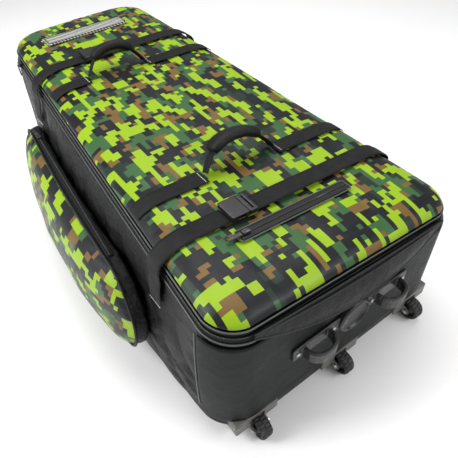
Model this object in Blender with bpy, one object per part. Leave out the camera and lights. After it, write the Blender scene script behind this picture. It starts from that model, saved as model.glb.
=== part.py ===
"""Rolling duffel bag, lying on its back with the lid up.  Metres, +Z up.

The wheeled end points to -Y, the hinge end of the lid to +Y and the side pocket to -X.
The origin is on the floor under the middle of the whole bag.
"""
import math

import bmesh
import bpy
from mathutils import Vector

# ---------------------------------------------------------------- driving sizes
BAG_LENGTH = 1.100          # fabric body along Y
NEAR_WIDTH = 0.560          # across the wheeled end
FAR_WIDTH = 0.384           # across the hinge end
NEAR_CORNER = 0.060         # plan radius of the wheeled end's corners
FAR_CORNER = 0.085          # plan radius of the hinge end's corners
BASE_Z = 0.034              # underside of the base above the floor
RIM_NEAR_LEFT = 0.326       # height of the tub's rim at its three driving corners
RIM_NEAR_RIGHT = 0.266
RIM_FAR = 0.348
SIDE_BULGE = 0.060          # how far the packed sides swell
WALL = 0.006                # padded wall of the tub
BASE_ROUND = 0.012          # soft edge round the base

ZIP_TAPE = 0.010            # height of each zip tape
TAPE_THICK = 0.0024
TAPE_LEAN = 0.007           # how far the zip band leans inwards over its height
LID_THICK = 0.006
CROWN = 0.026               # swell of the packed lid
CROWN_ROLL = 0.060          # width of the lid's rolled edge

GAP = 0.0003                # between touching pieces
LAY = 0.0016                # a sewn-on piece above a curved skin
FIT = 0.0003                # running clearance of a pin in its bore

WHEEL_RADIUS = 0.026
WHEEL_WIDTH = 0.026
WHEEL_PITCH = 0.215
WHEEL_OUT = 0.010           # axle beyond the end of the bag
HUB_RADIUS = 0.0165
AXLE_RADIUS = 0.003
GUARD_WIDTH = 0.100
GUARD_RISE = 0.032
GUARD_DEPTH = 0.046
GUARD_FACE = 0.003          # guard plate proud of the end panel
EAR_RADIUS = 0.009
EAR_THICK = 0.004
EAR_GAP = 0.0012            # wheel to ear

PANEL_THICK = 0.003         # stiff end panel
RAIL_WIDTH = 0.024
RAIL_LENGTH = 0.940
RAIL_SPREAD = 0.105         # each rail's distance from the middle
BOARD_THICK = 0.004

GRAB_WIDTH = 0.286          # moulded handle on the end panel
GRAB_HEIGHT = 0.034
GRAB_THICK = 0.005
GRAB_Z = 0.196
ARCH_SPAN = 0.060
ARCH_OUT = 0.030
ARCH_THICK = 0.007
ARCH_CENTRE = 0.090
SCOOP_RADIUS = 0.038
SCREW_HEAD = 0.0052
SCREW_SHANK = 0.0022

WEBBING_WIDTH = 0.038
WEBBING_THICK = 0.0018
NEAR_STRAP_Y = -0.360
FAR_STRAP_Y = 0.285
NEAR_BUCKLE_X = -0.112
FAR_BUCKLE_X = -0.070
STRAP_DROP = 0.062          # sewn end of a strap below the rim
STRAP_STAND = 0.010         # strap outside the rim, clear of the zip
BUCKLE_LENGTH = 0.036
BUCKLE_WIDTH = 0.046
BUCKLE_THICK = 0.012
BUCKLE_SHELL = 0.0025
MALE_LENGTH = 0.018

NEAR_HANDLE_Y = -0.255
FAR_HANDLE_Y = 0.185
NEAR_HANDLE_FEET = (-0.100, 0.066)
FAR_HANDLE_FEET = (-0.118, 0.030)
HANDLE_RISE = 0.052
HANDLE_LEAN = 25.0          # degrees towards the hinge end
HANDLE_BAND = 0.036
LOOP_THICK = 0.005

SLOT_Y = -0.412
SLOT_X = (-0.140, 0.105)
SLOT_WIDTH = 0.022
LABEL_X = (-0.128, 0.098)
LABEL_Y = 0.425
LABEL_WIDTH = 0.050
LABEL_THICK = 0.0012
SLOT_TAPE_THICK = 0.0022    # welt of the lid's pocket zip

FLAP_HALF = 0.235
FLAP_DROP = 0.048
FLAP_OUT = 0.016
FLAP_THICK = 0.004
FLAP_EDGE = 0.012           # the flap's depth at its two tips
FLAP_STAND = 0.0045         # the flap's top edge off the end of the bag

POCKET_Y = (-0.330, 0.370)
POCKET_BOTTOM = 0.052
POCKET_TOP = 0.262
POCKET_ROUND = 0.100
POCKET_GUSSET = 0.030
POCKET_DOME = 0.045
POCKET_ZIP_HALF = 0.0065    # half width of the pocket's zip
POCKET_ZIP_THICK = 0.0018

SLIDER_SIZE = (0.008, 0.015, 0.010)
PULL_SIZE = (0.0026, 0.0085, 0.028)
HINGE_STRIP = 0.003

HALF_LENGTH = BAG_LENGTH / 2
TAPER = math.atan2((NEAR_WIDTH - FAR_WIDTH) / 2, BAG_LENGTH)
LID_Z = 2 * ZIP_TAPE + 2 * GAP          # lid's edge above the rim
LID_INSET = TAPE_LEAN                   # lid's edge inside the rim
ZIP_END_Y = HALF_LENGTH - FAR_CORNER - 0.010    # where the zip stops, short of the hinge end
PIPING_RADIUS = 0.0019
SKIN_GAP = 0.0008           # end panel outside the tub
PANEL_FACE = -HALF_LENGTH - SKIN_GAP - PANEL_THICK
WHEEL_Y = -HALF_LENGTH - WHEEL_OUT
WHEEL_Z = WHEEL_RADIUS
WHEELS = (("left", -WHEEL_PITCH), ("middle", 0.0), ("right", WHEEL_PITCH))
WELL_HALF = WHEEL_WIDTH / 2 + 0.003     # half width of the slot a wheel turns in
EAR_INNER = WHEEL_WIDTH / 2 + EAR_GAP
STRAP_LAY = 0.0020          # strap above the lid
BEND_RISE = 0.004           # the bend above the lid's edge
STRAP_SPLIT = 3             # point of a strap's line where its right half is in two
STRAP_BREAK = 0.0008        # space between those two lengths


# ---------------------------------------------------------------- the bag's surfaces
def along(y):
    """0 at the wheeled end, 1 at the hinge end."""
    return (y + HALF_LENGTH) / BAG_LENGTH


def straight_half(y, inset=0.0):
    """Half width of the tapered outline, corners left square."""
    half = NEAR_WIDTH / 2 + (FAR_WIDTH - NEAR_WIDTH) / 2 * along(y)
    return half - inset / math.cos(TAPER)


def half_width(y, inset=0.0):
    """Half width of the outline with its corners rounded, at a distance inside the rim."""
    for end, radius, turn in ((-1, NEAR_CORNER, TAPER), (1, FAR_CORNER, -TAPER)):
        radius = max(radius - inset, 0.004)
        centre_y = end * (HALF_LENGTH - inset - radius)
        centre_x = straight_half(centre_y, inset) - radius / math.cos(TAPER)
        reach = end * (y - centre_y)
        if reach > radius * math.sin(-turn):
            reach = min(reach, radius)
            return centre_x + math.sqrt(radius * radius - reach * reach)
    return straight_half(y, inset)


def rows(inset=0.0, corner_steps=4, middle_steps=12):
    """Y of each row from the wheeled end to the hinge end, closer together in the corners."""
    near = max(NEAR_CORNER - inset, 0.004)
    far = max(FAR_CORNER - inset, 0.004)
    low, high = -HALF_LENGTH + inset, HALF_LENGTH - inset
    quarter = [math.pi / 2 * step / corner_steps for step in range(corner_steps + 1)]
    near_rows = [low + near * (1 - math.cos(angle)) for angle in quarter]
    far_rows = [high - far * (1 - math.cos(angle)) for angle in reversed(quarter)]
    span = far_rows[0] - near_rows[-1]
    middle = [near_rows[-1] + span * step / middle_steps for step in range(1, middle_steps)]
    return near_rows + middle + far_rows


def rim_z(x, y):
    """Rim height: level at the hinge end, slumped to the right at the wheeled end."""
    side = min(max(x / NEAR_WIDTH + 0.5, 0.0), 1.0)
    near = RIM_NEAR_LEFT + (RIM_NEAR_RIGHT - RIM_NEAR_LEFT) * side
    return near + (RIM_FAR - near) * along(y)


def bulge(y, level):
    """Outward swell of a side wall at a level from 0 at the base to 1 at the rim."""
    lengthwise = max(math.sin(math.pi * along(y)), 0.0) ** 0.8
    return SIDE_BULGE * lengthwise * math.cos(math.pi / 2 * level) ** 0.7 * (0.90 + 0.10 * min(level / 0.3, 1.0))


def wall_half(y, level, inset=0.0):
    return half_width(y, inset) + bulge(y, level)


def rolled(distance):
    """0 to 1 across the lid's rolled edge."""
    t = min(max(distance / CROWN_ROLL, 0.0), 1.0)
    return math.sqrt(1 - (1 - t) ** 2)


def lid_top(x, y):
    edge_x = half_width(y, LID_INSET) - abs(x)
    edge_y = HALF_LENGTH - LID_INSET - abs(y)
    return rim_z(x, y) + LID_Z + LID_THICK + CROWN * rolled(edge_x) * rolled(edge_y)


# ---------------------------------------------------------------- mesh helpers
def clear_scene():
    for old in list(bpy.data.objects):
        bpy.data.objects.remove(old, do_unlink=True)


MATERIALS = {
    "camo_fabric": ((0.28, 0.42, 0.12), 0.55, 0.0),
    "black_fabric": ((0.018, 0.020, 0.022), 0.60, 0.0),
    "panel_fabric": ((0.030, 0.034, 0.037), 0.55, 0.0),
    "webbing": ((0.014, 0.014, 0.015), 0.70, 0.0),
    "piping": ((0.30, 0.31, 0.30), 0.50, 0.0),
    "zip_tape": ((0.010, 0.010, 0.011), 0.65, 0.0),
    "zip_metal": ((0.055, 0.055, 0.058), 0.35, 1.0),
    "buckle_plastic": ((0.012, 0.012, 0.013), 0.35, 0.0),
    "handle_plastic": ((0.060, 0.060, 0.062), 0.42, 0.0),
    "guard_plastic": ((0.330, 0.310, 0.290), 0.45, 0.0),
    "tyre_rubber": ((0.055, 0.055, 0.055), 0.60, 0.0),
    "hub_plastic": ((0.020, 0.020, 0.021), 0.45, 0.0),
    "steel": ((0.50, 0.50, 0.50), 0.30, 1.0),
    "label": ((0.70, 0.70, 0.66), 0.60, 0.0),
    "board": ((0.040, 0.040, 0.042), 0.70, 0.0),
}


def material(name):
    found = bpy.data.materials.get(name)
    if found:
        return found
    colour, roughness, metallic = MATERIALS[name]
    made = bpy.data.materials.new(name)
    made.use_nodes = True
    shader = made.node_tree.nodes["Principled BSDF"]
    shader.inputs["Base Color"].default_value = (*colour, 1.0)
    shader.inputs["Roughness"].default_value = roughness
    shader.inputs["Metallic"].default_value = metallic
    return made


def finish(name, bm, slot, origin=(0, 0, 0), smooth=True):
    """Turn a bmesh in world space into a named object whose origin is at the given point."""
    bmesh.ops.recalc_face_normals(bm, faces=bm.faces)
    bmesh.ops.translate(bm, verts=bm.verts, vec=-Vector(origin))
    mesh = bpy.data.meshes.new(name)
    bm.to_mesh(mesh)
    bm.free()
    made = bpy.data.objects.new(name, mesh)
    made.location = origin
    bpy.context.scene.collection.objects.link(made)
    mesh.materials.append(material(slot))
    if smooth:
        mesh.shade_smooth()
        mesh.set_sharp_from_angle(angle=math.radians(35))
    return made


def slab(name, upper, lower, slot, origin=(0, 0, 0)):
    """Closed solid between two grids of points of the same size."""
    bm = bmesh.new()
    top = [[bm.verts.new(point) for point in row] for row in upper]
    under = [[bm.verts.new(point) for point in row] for row in lower]
    rows_n, columns = len(upper), len(upper[0])
    for i in range(rows_n - 1):
        for j in range(columns - 1):
            bm.faces.new((top[i][j], top[i + 1][j], top[i + 1][j + 1], top[i][j + 1]))
            bm.faces.new((under[i][j], under[i][j + 1], under[i + 1][j + 1], under[i + 1][j]))
    for i in range(rows_n - 1):
        for j, flip in ((0, False), (columns - 1, True)):
            side = (top[i][j], under[i][j], under[i + 1][j], top[i + 1][j])
            bm.faces.new(side[::-1] if flip else side)
    for j in range(columns - 1):
        for i, flip in ((0, True), (rows_n - 1, False)):
            side = (top[i][j], under[i][j], under[i][j + 1], top[i][j + 1])
            bm.faces.new(side[::-1] if flip else side)
    return finish(name, bm, slot, origin)


def loft(name, rings, slot, origin=(0, 0, 0), closed=False):
    """Skin a list of point rings; the end rings are filled unless the loft closes on itself."""
    bm = bmesh.new()
    loops = [[bm.verts.new(point) for point in ring] for ring in rings]
    count = len(loops[0])
    pairs = list(zip(loops, loops[1:]))
    if closed:
        pairs.append((loops[-1], loops[0]))
    for first, second in pairs:
        for k in range(count):
            bm.faces.new((first[k], first[(k + 1) % count], second[(k + 1) % count], second[k]))
    if not closed:
        bm.faces.new(loops[0][::-1])
        bm.faces.new(loops[-1])
    return finish(name, bm, slot, origin)


def add_box(bm, low, high):
    """An axis-aligned box between two corners."""
    size = [b - a for a, b in zip(low, high)]
    centre = [(a + b) / 2 for a, b in zip(low, high)]
    made = bmesh.ops.create_cube(bm, size=1.0)
    bmesh.ops.scale(bm, vec=size, verts=made["verts"])
    bmesh.ops.translate(bm, vec=centre, verts=made["verts"])
    return made["verts"]


def box(name, low, high, slot, origin=(0, 0, 0), bevel=0.0):
    bm = bmesh.new()
    add_box(bm, low, high)
    if bevel:
        bmesh.ops.bevel(bm, geom=bm.edges[:], offset=bevel, segments=2, affect="EDGES", profile=0.5)
    return finish(name, bm, slot, origin)


def turned(name, profile, slot, centre, axis="X", steps=20, hollow=False, origin=None):
    """Rings of a profile of (along, radius) points about an axis; a hollow profile closes on itself."""
    rings = []
    for reach, radius in profile:
        ring = []
        for k in range(steps):
            angle = 2 * math.pi * k / steps
            side, rise = radius * math.cos(angle), radius * math.sin(angle)
            spot = (reach, side, rise) if axis == "X" else (side, reach, rise)
            ring.append(Vector(spot) + Vector(centre))
        rings.append(ring)
    return loft(name, rings, slot, origin or (0, 0, 0), closed=hollow)


def cut(target, cutter):
    """Subtract a cutter, which stays hidden."""
    cutter.hide_render = True
    cutter.display_type = "WIRE"
    step = target.modifiers.new("cut", "BOOLEAN")
    step.operation = "DIFFERENCE"
    step.object = cutter


def join_with(target, piece):
    """Union a hidden piece into its target."""
    piece.hide_render = True
    piece.display_type = "WIRE"
    step = target.modifiers.new("join", "BOOLEAN")
    step.operation = "UNION"
    step.object = piece


# ---------------------------------------------------------------- tub
def ring_points(level, inset, z_of, row_list):
    """One closed ring round the bag: left side, hinge end, right side, wheeled end."""
    left = [(-wall_half(y, level, inset), y) for y in row_list]
    right = [(wall_half(y, level, inset), y) for y in reversed(row_list)]
    across = 6
    far_y, near_y = row_list[-1], row_list[0]
    far_half, near_half = half_width(far_y, inset), half_width(near_y, inset)
    far = [(-far_half + 2 * far_half * k / across, far_y) for k in range(1, across)]
    near = [(near_half - 2 * near_half * k / across, near_y) for k in range(1, across)]
    return [(x, y, z_of(x, y)) for x, y in left + far + right + near]


def at_level(level):
    return lambda x, y: BASE_Z + (rim_z(x, y) - BASE_Z) * level


def build_tub():
    levels = (0.08, 0.30, 0.60, 0.85, 1.0)
    rings = [ring_points(0.0, BASE_ROUND, lambda x, y: BASE_Z, rows(BASE_ROUND))]
    rings += [ring_points(level, 0.0, at_level(level), rows()) for level in levels]
    rings += [ring_points(level, WALL, at_level(level), rows(WALL)) for level in reversed(levels[1:])]
    rings.append(ring_points(0.0, WALL + BASE_ROUND, lambda x, y: BASE_Z + WALL, rows(WALL + BASE_ROUND)))
    return loft("tub_shell", rings, "black_fabric")


def perimeter(inset, level, reach_y, far=False):
    """Open line of (x, y) round the wheeled end, or the hinge end, from left to right."""
    kept = [y for y in rows(inset) if (y > reach_y if far else y < reach_y)]
    end_y = kept[-1] if far else kept[0]
    half = wall_half(end_y, level, inset)
    across = [(half * (2 * k / 6 - 1), end_y) for k in range(1, 6)]
    order = kept if far else list(reversed(kept))
    left = [(-wall_half(y, level, inset), y) for y in order]
    right = [(wall_half(y, level, inset), y) for y in reversed(order)]
    return left + across + right


def band(name, slot, reach_y, low, high, low_inset, high_inset, thick, far=False):
    """A strip that stands on the rim and follows it, between two heights above the rim."""
    def line(inset, lift):
        return [(x, y, rim_z(x, y) + lift) for x, y in perimeter(inset, 1.0, reach_y, far)]
    outer = list(zip(line(low_inset, low), line(high_inset, high)))
    inner = list(zip(line(low_inset + thick, low), line(high_inset + thick, high)))
    return slab(name, outer, inner, slot)


def build_zip_and_hinge():
    half_lean = TAPE_LEAN / 2
    lower_top = GAP + ZIP_TAPE
    band("zip_tape_lower", "zip_tape", ZIP_END_Y, GAP, lower_top, 0.0005, half_lean, TAPE_THICK)
    band("zip_tape_upper", "zip_tape", ZIP_END_Y, lower_top + GAP, LID_Z - GAP, half_lean, TAPE_LEAN, TAPE_THICK)
    band("hinge_strip", "black_fabric", ZIP_END_Y + 0.004, GAP, LID_Z - GAP, 0.0, TAPE_LEAN, HINGE_STRIP, far=True)


def build_end_panel():
    """Stiff skin over the wheeled end, above the wheel guards."""
    reach_y = -HALF_LENGTH + NEAR_CORNER + 0.002
    low_z = BASE_Z + GUARD_RISE + 0.002

    def layer(inset):
        grid = []
        for level in (0.0, 0.3, 0.6, 0.96):
            points = []
            for x, y in perimeter(inset, level, reach_y):
                points.append((x, y, low_z + (rim_z(x, y) - low_z) * level))
            grid.append(points)
        return grid

    panel = slab("end_panel", layer(-SKIN_GAP - PANEL_THICK), layer(-SKIN_GAP), "panel_fabric")
    for number, x in enumerate(screw_places()):
        radius = SCREW_SHANK + FIT
        hole = turned(f"panel_hole_{number}", [(-0.02, radius), (0.02, radius)], "steel",
                      (x, -HALF_LENGTH, GRAB_Z), axis="Y", steps=12)
        cut(panel, hole)


def screw_places():
    outer = GRAB_WIDTH / 2 - 0.011
    inner = ARCH_CENTRE - ARCH_SPAN / 2 - ARCH_THICK / 2 - SCREW_HEAD - 0.002
    return (-outer, -inner, inner, outer)


# ---------------------------------------------------------------- wheels and guards
def build_wheel(side, x):
    """Guard let into the bag's corner, its axle, and a wheel of a hub and a tyre."""
    centre = (x, WHEEL_Y, WHEEL_Z)
    front = -HALF_LENGTH - GUARD_FACE
    back = -HALF_LENGTH + GUARD_DEPTH
    low, high = BASE_Z - GUARD_FACE, BASE_Z + GUARD_RISE
    guard = box(f"wheel_guard_{side}", (x - GUARD_WIDTH / 2, front, low), (x + GUARD_WIDTH / 2, back, high),
                "guard_plastic", bevel=0.003)
    well = turned(f"well_{side}", [(-WELL_HALF, WHEEL_RADIUS + 0.003), (WELL_HALF, WHEEL_RADIUS + 0.003)],
                  "steel", centre)
    cut(guard, well)
    for turn in (-1, 1):
        inner, outer = x + turn * EAR_INNER, x + turn * (EAR_INNER + EAR_THICK)
        low_x, high_x = min(inner, outer), max(inner, outer)
        arm = box(f"ear_arm_{side}_{turn + 1}", (low_x, WHEEL_Y, WHEEL_Z - EAR_RADIUS * 0.75),
                  (high_x, front + 0.022, WHEEL_Z + EAR_RADIUS * 1.35), "steel")
        join_with(guard, arm)
        ring = turned(f"ear_{side}_{turn + 1}", [(low_x - x, EAR_RADIUS), (high_x - x, EAR_RADIUS)], "steel", centre)
        join_with(guard, ring)
    reach = EAR_INNER + EAR_THICK + 0.004
    bore = turned(f"axle_bore_{side}", [(-reach, AXLE_RADIUS + FIT), (reach, AXLE_RADIUS + FIT)], "steel", centre)
    cut(guard, bore)

    head = AXLE_RADIUS + 0.0022
    tip = EAR_INNER + EAR_THICK + GAP
    turned(f"axle_{side}", [(-tip - 0.002, head * 0.7), (-tip - 0.0014, head), (-tip, head), (-tip, AXLE_RADIUS),
                            (tip, AXLE_RADIUS), (tip, head), (tip + 0.0014, head), (tip + 0.002, head * 0.7)],
           "steel", centre, steps=16)

    half = WHEEL_WIDTH / 2
    bore = AXLE_RADIUS + FIT
    rim = HUB_RADIUS
    web = half * 0.45
    turned(f"hub_{side}", [(-half + 0.001, bore), (-half + 0.001, 0.007), (-web, rim - 0.003),
                           (-half + 0.003, rim), (half - 0.003, rim), (web, rim - 0.003),
                           (half - 0.001, 0.007), (half - 0.001, bore)],
           "hub_plastic", centre, hollow=True, origin=centre)
    seat = rim + GAP
    tread = WHEEL_RADIUS
    turned(f"tyre_{side}", [(-half + 0.003, seat), (-half, seat + 0.0025), (-half, tread - 0.005),
                            (-half + 0.006, tread), (half - 0.006, tread), (half, tread - 0.005),
                            (half, seat + 0.0025), (half - 0.003, seat)],
           "tyre_rubber", centre, hollow=True, origin=centre)


def let_guards_in(tub):
    """Openings in the tub's corner that the guards fill."""
    for side, x in WHEELS:
        room = 0.0006
        pocket = box(f"guard_opening_{side}",
                     (x - GUARD_WIDTH / 2 - room, -HALF_LENGTH - 0.02, BASE_Z - 0.02),
                     (x + GUARD_WIDTH / 2 + room, -HALF_LENGTH + GUARD_DEPTH + room, BASE_Z + GUARD_RISE + room),
                     "steel")
        cut(tub, pocket)


def build_base():
    inner = WALL + BASE_ROUND + 0.002
    near_stop = -HALF_LENGTH + GUARD_DEPTH + 0.004
    kept = [y for y in rows(inner) if y > near_stop]
    kept = [near_stop, *kept]
    low = BASE_Z + WALL + GAP
    outline = [(-half_width(y, inner), y) for y in kept] + [(half_width(y, inner), y) for y in reversed(kept)]
    loft("base_board", [[(x, y, low) for x, y in outline], [(x, y, low + BOARD_THICK) for x, y in outline]],
         "board")
    rail_low = -HALF_LENGTH + GUARD_DEPTH + 0.020
    for side, x in (("left", -RAIL_SPREAD), ("right", RAIL_SPREAD)):
        box(f"skid_rail_{side}", (x - RAIL_WIDTH / 2, rail_low, 0.0),
            (x + RAIL_WIDTH / 2, rail_low + RAIL_LENGTH, BASE_Z - GAP), "handle_plastic", bevel=0.005)


# ---------------------------------------------------------------- moulded handle on the end panel
def build_grab_handle():
    """Screwed plate with a finger arch at each side and a dished scoop in the middle."""
    face = PANEL_FACE - GAP
    half = GRAB_WIDTH / 2
    front = face - GRAB_THICK
    plate = box("grab_handle", (-half, front, GRAB_Z - GRAB_HEIGHT / 2), (half, face, GRAB_Z + GRAB_HEIGHT / 2),
                "handle_plastic", bevel=0.0018)
    scoop_out = turned("scoop_body", [(0.0, SCOOP_RADIUS), (-0.010, SCOOP_RADIUS), (-0.013, SCOOP_RADIUS - 0.004)],
                       "steel", (0, face, GRAB_Z), axis="Y", steps=24)
    join_with(plate, scoop_out)
    for side in (-1, 1):
        centre_x = side * ARCH_CENTRE
        steps = 10
        outer_half = ARCH_SPAN / 2 + ARCH_THICK / 2
        inner_half = ARCH_SPAN / 2 - ARCH_THICK / 2
        rings = []
        for k in range(steps + 1):
            angle = math.pi * k / steps
            ring = []
            for half_span, out in ((outer_half, ARCH_OUT + ARCH_THICK), (inner_half, ARCH_OUT)):
                x = centre_x + half_span * math.cos(angle)
                y = front + 0.002 - out * math.sin(angle) ** 0.6
                ring.append((x, y))
            (ox, oy), (ix, iy) = ring
            low, high = GRAB_Z - GRAB_HEIGHT * 0.38, GRAB_Z + GRAB_HEIGHT * 0.38
            rings.append([(ox, oy, low), (ox, oy, high), (ix, iy, high), (ix, iy, low)])
        arch = loft(f"finger_arch_{side + 1}", rings, "steel")
        join_with(plate, arch)
    bowl = turned("scoop_dish", [(0.0085, 0.012), (0.006, SCOOP_RADIUS - 0.008), (0.0, SCOOP_RADIUS - 0.005)],
                  "steel", (0, front - 0.0085, GRAB_Z), axis="Y", steps=24)
    cut(plate, bowl)
    for number, x in enumerate(screw_places()):
        hole = turned(f"handle_hole_{number}", [(-0.02, SCREW_SHANK + FIT), (0.02, SCREW_SHANK + FIT)], "steel",
                      (x, front, GRAB_Z), axis="Y", steps=12)
        cut(plate, hole)
        shank = GRAB_THICK + PANEL_THICK
        turned(f"handle_screw_{number + 1}",
               [(-GAP - 0.0024, SCREW_HEAD * 0.55), (-GAP - 0.0017, SCREW_HEAD * 0.92), (-GAP, SCREW_HEAD),
                (-GAP, SCREW_SHANK), (shank, SCREW_SHANK)],
               "steel", (x, front, GRAB_Z), axis="Y", steps=14)


# ---------------------------------------------------------------- lid
def spread(count):
    """-1 to 1, closer together at both ends."""
    return [math.sin(math.pi / 2 * (2 * k / count - 1)) for k in range(count + 1)]


def build_lid():
    columns = spread(20)
    upper, lower = [], []
    inner_rows = rows(LID_INSET, corner_steps=5, middle_steps=12)
    for y in inner_rows:
        half = half_width(y, LID_INSET)
        line = [(u * half, y, lid_top(u * half, y)) for u in columns]
        upper.append(line)
        lower.append([(x, y, z - LID_THICK) for x, y, z in line])
    return slab("lid_shell", upper, lower, "camo_fabric")


def patch(name, low, high, across, lengthwise, thick, slot, lay=LAY, origin=(0, 0, 0)):
    """A flat piece sewn on the lid, between two (x, y) corners."""
    upper, under = [], []
    for j in range(lengthwise + 1):
        y = low[1] + (high[1] - low[1]) * j / lengthwise
        xs = [low[0] + (high[0] - low[0]) * i / across for i in range(across + 1)]
        under.append([(x, y, lid_top(x, y) + lay) for x in xs])
        upper.append([(x, y, lid_top(x, y) + lay + thick) for x in xs])
    return slab(name, upper, under, slot, origin)


def edge_band(name, side, foot_x, y, width, thick):
    """Webbing sewn on the lid from its edge to a foot."""
    upper, under = [], []
    steps = 10
    for j in range(3):
        row_y = y + width * (j / 2 - 0.5)
        edge = side * (half_width(row_y, LID_INSET) - 0.0015)
        xs = [edge + (foot_x - edge) * (i / steps) ** 1.7 for i in range(steps + 1)]
        under.append([(x, row_y, lid_top(x, row_y) + LAY) for x in xs])
        upper.append([(x, row_y, lid_top(x, row_y) + LAY + thick) for x in xs])
    return slab(name, upper, under, "webbing")


def build_lid_trim():
    patch("label_patch", (LABEL_X[0], LABEL_Y - LABEL_WIDTH / 2), (LABEL_X[1], LABEL_Y + LABEL_WIDTH / 2),
          4, 2, LABEL_THICK, "label")
    patch("lid_pocket_zip", (SLOT_X[0], SLOT_Y - SLOT_WIDTH / 2), (SLOT_X[1], SLOT_Y + SLOT_WIDTH / 2),
          6, 2, SLOT_TAPE_THICK, "zip_tape")


def build_storm_flap():
    """Lens-shaped flap that hangs from the lid over the top of the end panel."""
    across, down = 14, 3
    outer, inner = [], []
    for i in range(across + 1):
        x = FLAP_HALF * (2 * i / across - 1)
        lens = 1 - (x / FLAP_HALF) ** 2
        top_z = rim_z(x, -HALF_LENGTH) + LID_Z * 0.9
        drop = FLAP_EDGE + FLAP_DROP * lens
        out_column, in_column = [], []
        for j in range(down + 1):
            share = j / down
            out = FLAP_STAND + FLAP_OUT * (0.25 + 0.75 * lens) * math.sin(math.pi / 2 * min(share * 1.4, 1.0))
            z = top_z - drop * share
            in_column.append((x, -HALF_LENGTH - out, z))
            out_column.append((x, -HALF_LENGTH - out - FLAP_THICK, z))
        outer.append(out_column)
        inner.append(in_column)
    return slab("storm_flap", outer, inner, "panel_fabric")


# ---------------------------------------------------------------- carrying handles on the lid
def build_handle(which, y, feet):
    """Webbing bands sewn to the lid, and a loop that swings on its two feet with a padded grip."""
    left, right = feet
    edge_band(f"{which}_handle_band_left", -1, left, y, HANDLE_BAND, WEBBING_THICK)
    edge_band(f"{which}_handle_band_right", 1, right, y, HANDLE_BAND, WEBBING_THICK)
    pivot = ((left + right) / 2, y, max(lid_top(left, y), lid_top(right, y)) + LAY + WEBBING_THICK / 2)
    lean = math.radians(HANDLE_LEAN)
    inset = 0.0015

    def ribbon(name, slot, start, end, count, width, below, above):
        outer, inner = [], []
        for k in range(count + 1):
            share = start + (end - start) * k / count
            bow = 1 - abs(2 * share - 1) ** 2.6
            x = left + inset + (right - left - 2 * inset) * share
            base = lid_top(x, y) + LAY + GAP
            slope = (2.6 * 2 * abs(2 * share - 1) ** 1.6 * HANDLE_RISE / (right - left)
                     * (1 if share < 0.5 else -1))
            length = math.hypot(1, slope)
            normal = (-slope / length, 1 / length)
            rows_out, rows_in = [], []
            for m in (-1, 1):
                across = m * width / 2
                for rows_, lift in ((rows_out, above), (rows_in, -below)):
                    px = x + normal[0] * lift
                    ph = HANDLE_RISE * bow + normal[1] * lift
                    rows_.append((px, y + ph * math.sin(lean) + across * math.cos(lean),
                                  base + ph * math.cos(lean) - across * math.sin(lean)))
            outer.append(rows_out)
            inner.append(rows_in)
        return slab(name, outer, inner, slot, pivot)

    ribbon(f"{which}_handle_loop", "webbing", 0.05, 0.95, 14, HANDLE_BAND * 0.55, 0.0, LOOP_THICK * 0.5)
    ribbon(f"{which}_handle_grip", "black_fabric", 0.20, 0.80, 10, HANDLE_BAND * 0.82, -LOOP_THICK * 0.5 - GAP,
           LOOP_THICK * 1.5)


# ---------------------------------------------------------------- straps and their buckles
def strap_line(side, y, end_x):
    """Points of a strap half in one plane: sewn end, over the rim and the lid's edge, to its buckle."""
    rim = rim_z(side * straight_half(y), y)
    half = half_width(y)
    level = 1 - STRAP_DROP / (rim - BASE_Z)
    points = [
        (wall_half(y, level) + LAY, rim - STRAP_DROP),
        (wall_half(y, (1 + level) / 2) + STRAP_STAND * 0.55, rim - STRAP_DROP * 0.5),
        (half + STRAP_STAND, rim - STRAP_DROP * 0.1),
        (half + STRAP_STAND, rim + LID_Z * 0.6),
        (half + STRAP_STAND * 0.55, rim + LID_Z + LID_THICK + 0.004),
    ]
    points = [(side * x, z) for x, z in points]
    edge = side * (half_width(y, LID_INSET) - 0.002)
    steps = 10
    for k in range(steps + 1):
        x = edge + (end_x - edge) * (k / steps) ** 1.6
        lift = STRAP_LAY + 0.004 * (1 - min(k / 3, 1.0))
        points.append((x, lid_top(x, y) + lift))
    return points


def strap_foot(side, y):
    """The stitched foot that a strap half swings from."""
    x, z = strap_line(side, y, 0.0)[0]
    return (x, y, z)


def strap_bend(side, y):
    """The bend over the lid's edge, where a strap half folds again."""
    rim = rim_z(side * straight_half(y), y)
    return (side * (half_width(y) + STRAP_STAND * 0.5), y, rim + LID_Z + BEND_RISE)


def build_strap(name, side, y, end_x, origin, part="whole"):
    outer, inner = [], []
    for j in (-1, 0, 1):
        row_y = y + j * WEBBING_WIDTH / 2
        line = strap_line(side, row_y, end_x)
        if part == "lower":
            line = line[:STRAP_SPLIT + 1]
        if part == "upper":
            x, z = line[STRAP_SPLIT]
            line = [(x, z + STRAP_BREAK), *line[STRAP_SPLIT + 1:]]
        out_row, in_row = [], []
        for k, (x, z) in enumerate(line):
            ahead, behind = line[min(k + 1, len(line) - 1)], line[max(k - 1, 0)]
            dx, dz = ahead[0] - behind[0], ahead[1] - behind[1]
            length = math.hypot(dx, dz)
            normal = (side * abs(dz) / length, abs(dx) / length)
            in_row.append((x, row_y, z))
            out_row.append((x + normal[0] * WEBBING_THICK, row_y, z + normal[1] * WEBBING_THICK))
        outer.append(out_row)
        inner.append(in_row)
    slab(name, outer, inner, "webbing", origin)


def lie_on_lid(thing, x, y, lift, origin):
    """Shear a piece modelled flat at the origin so that it lies on the lid at (x, y)."""
    step = 0.01
    slope_x = (lid_top(x + step, y) - lid_top(x - step, y)) / (2 * step)
    slope_y = (lid_top(x, y + step) - lid_top(x, y - step)) / (2 * step)
    base = lid_top(x, y) + lift
    for vertex in thing.data.vertices:
        spot = vertex.co.copy()
        spot.z += base + slope_x * spot.x + slope_y * spot.y
        spot.x += x
        spot.y += y
        vertex.co = spot - Vector(origin)
    thing.location = origin


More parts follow.
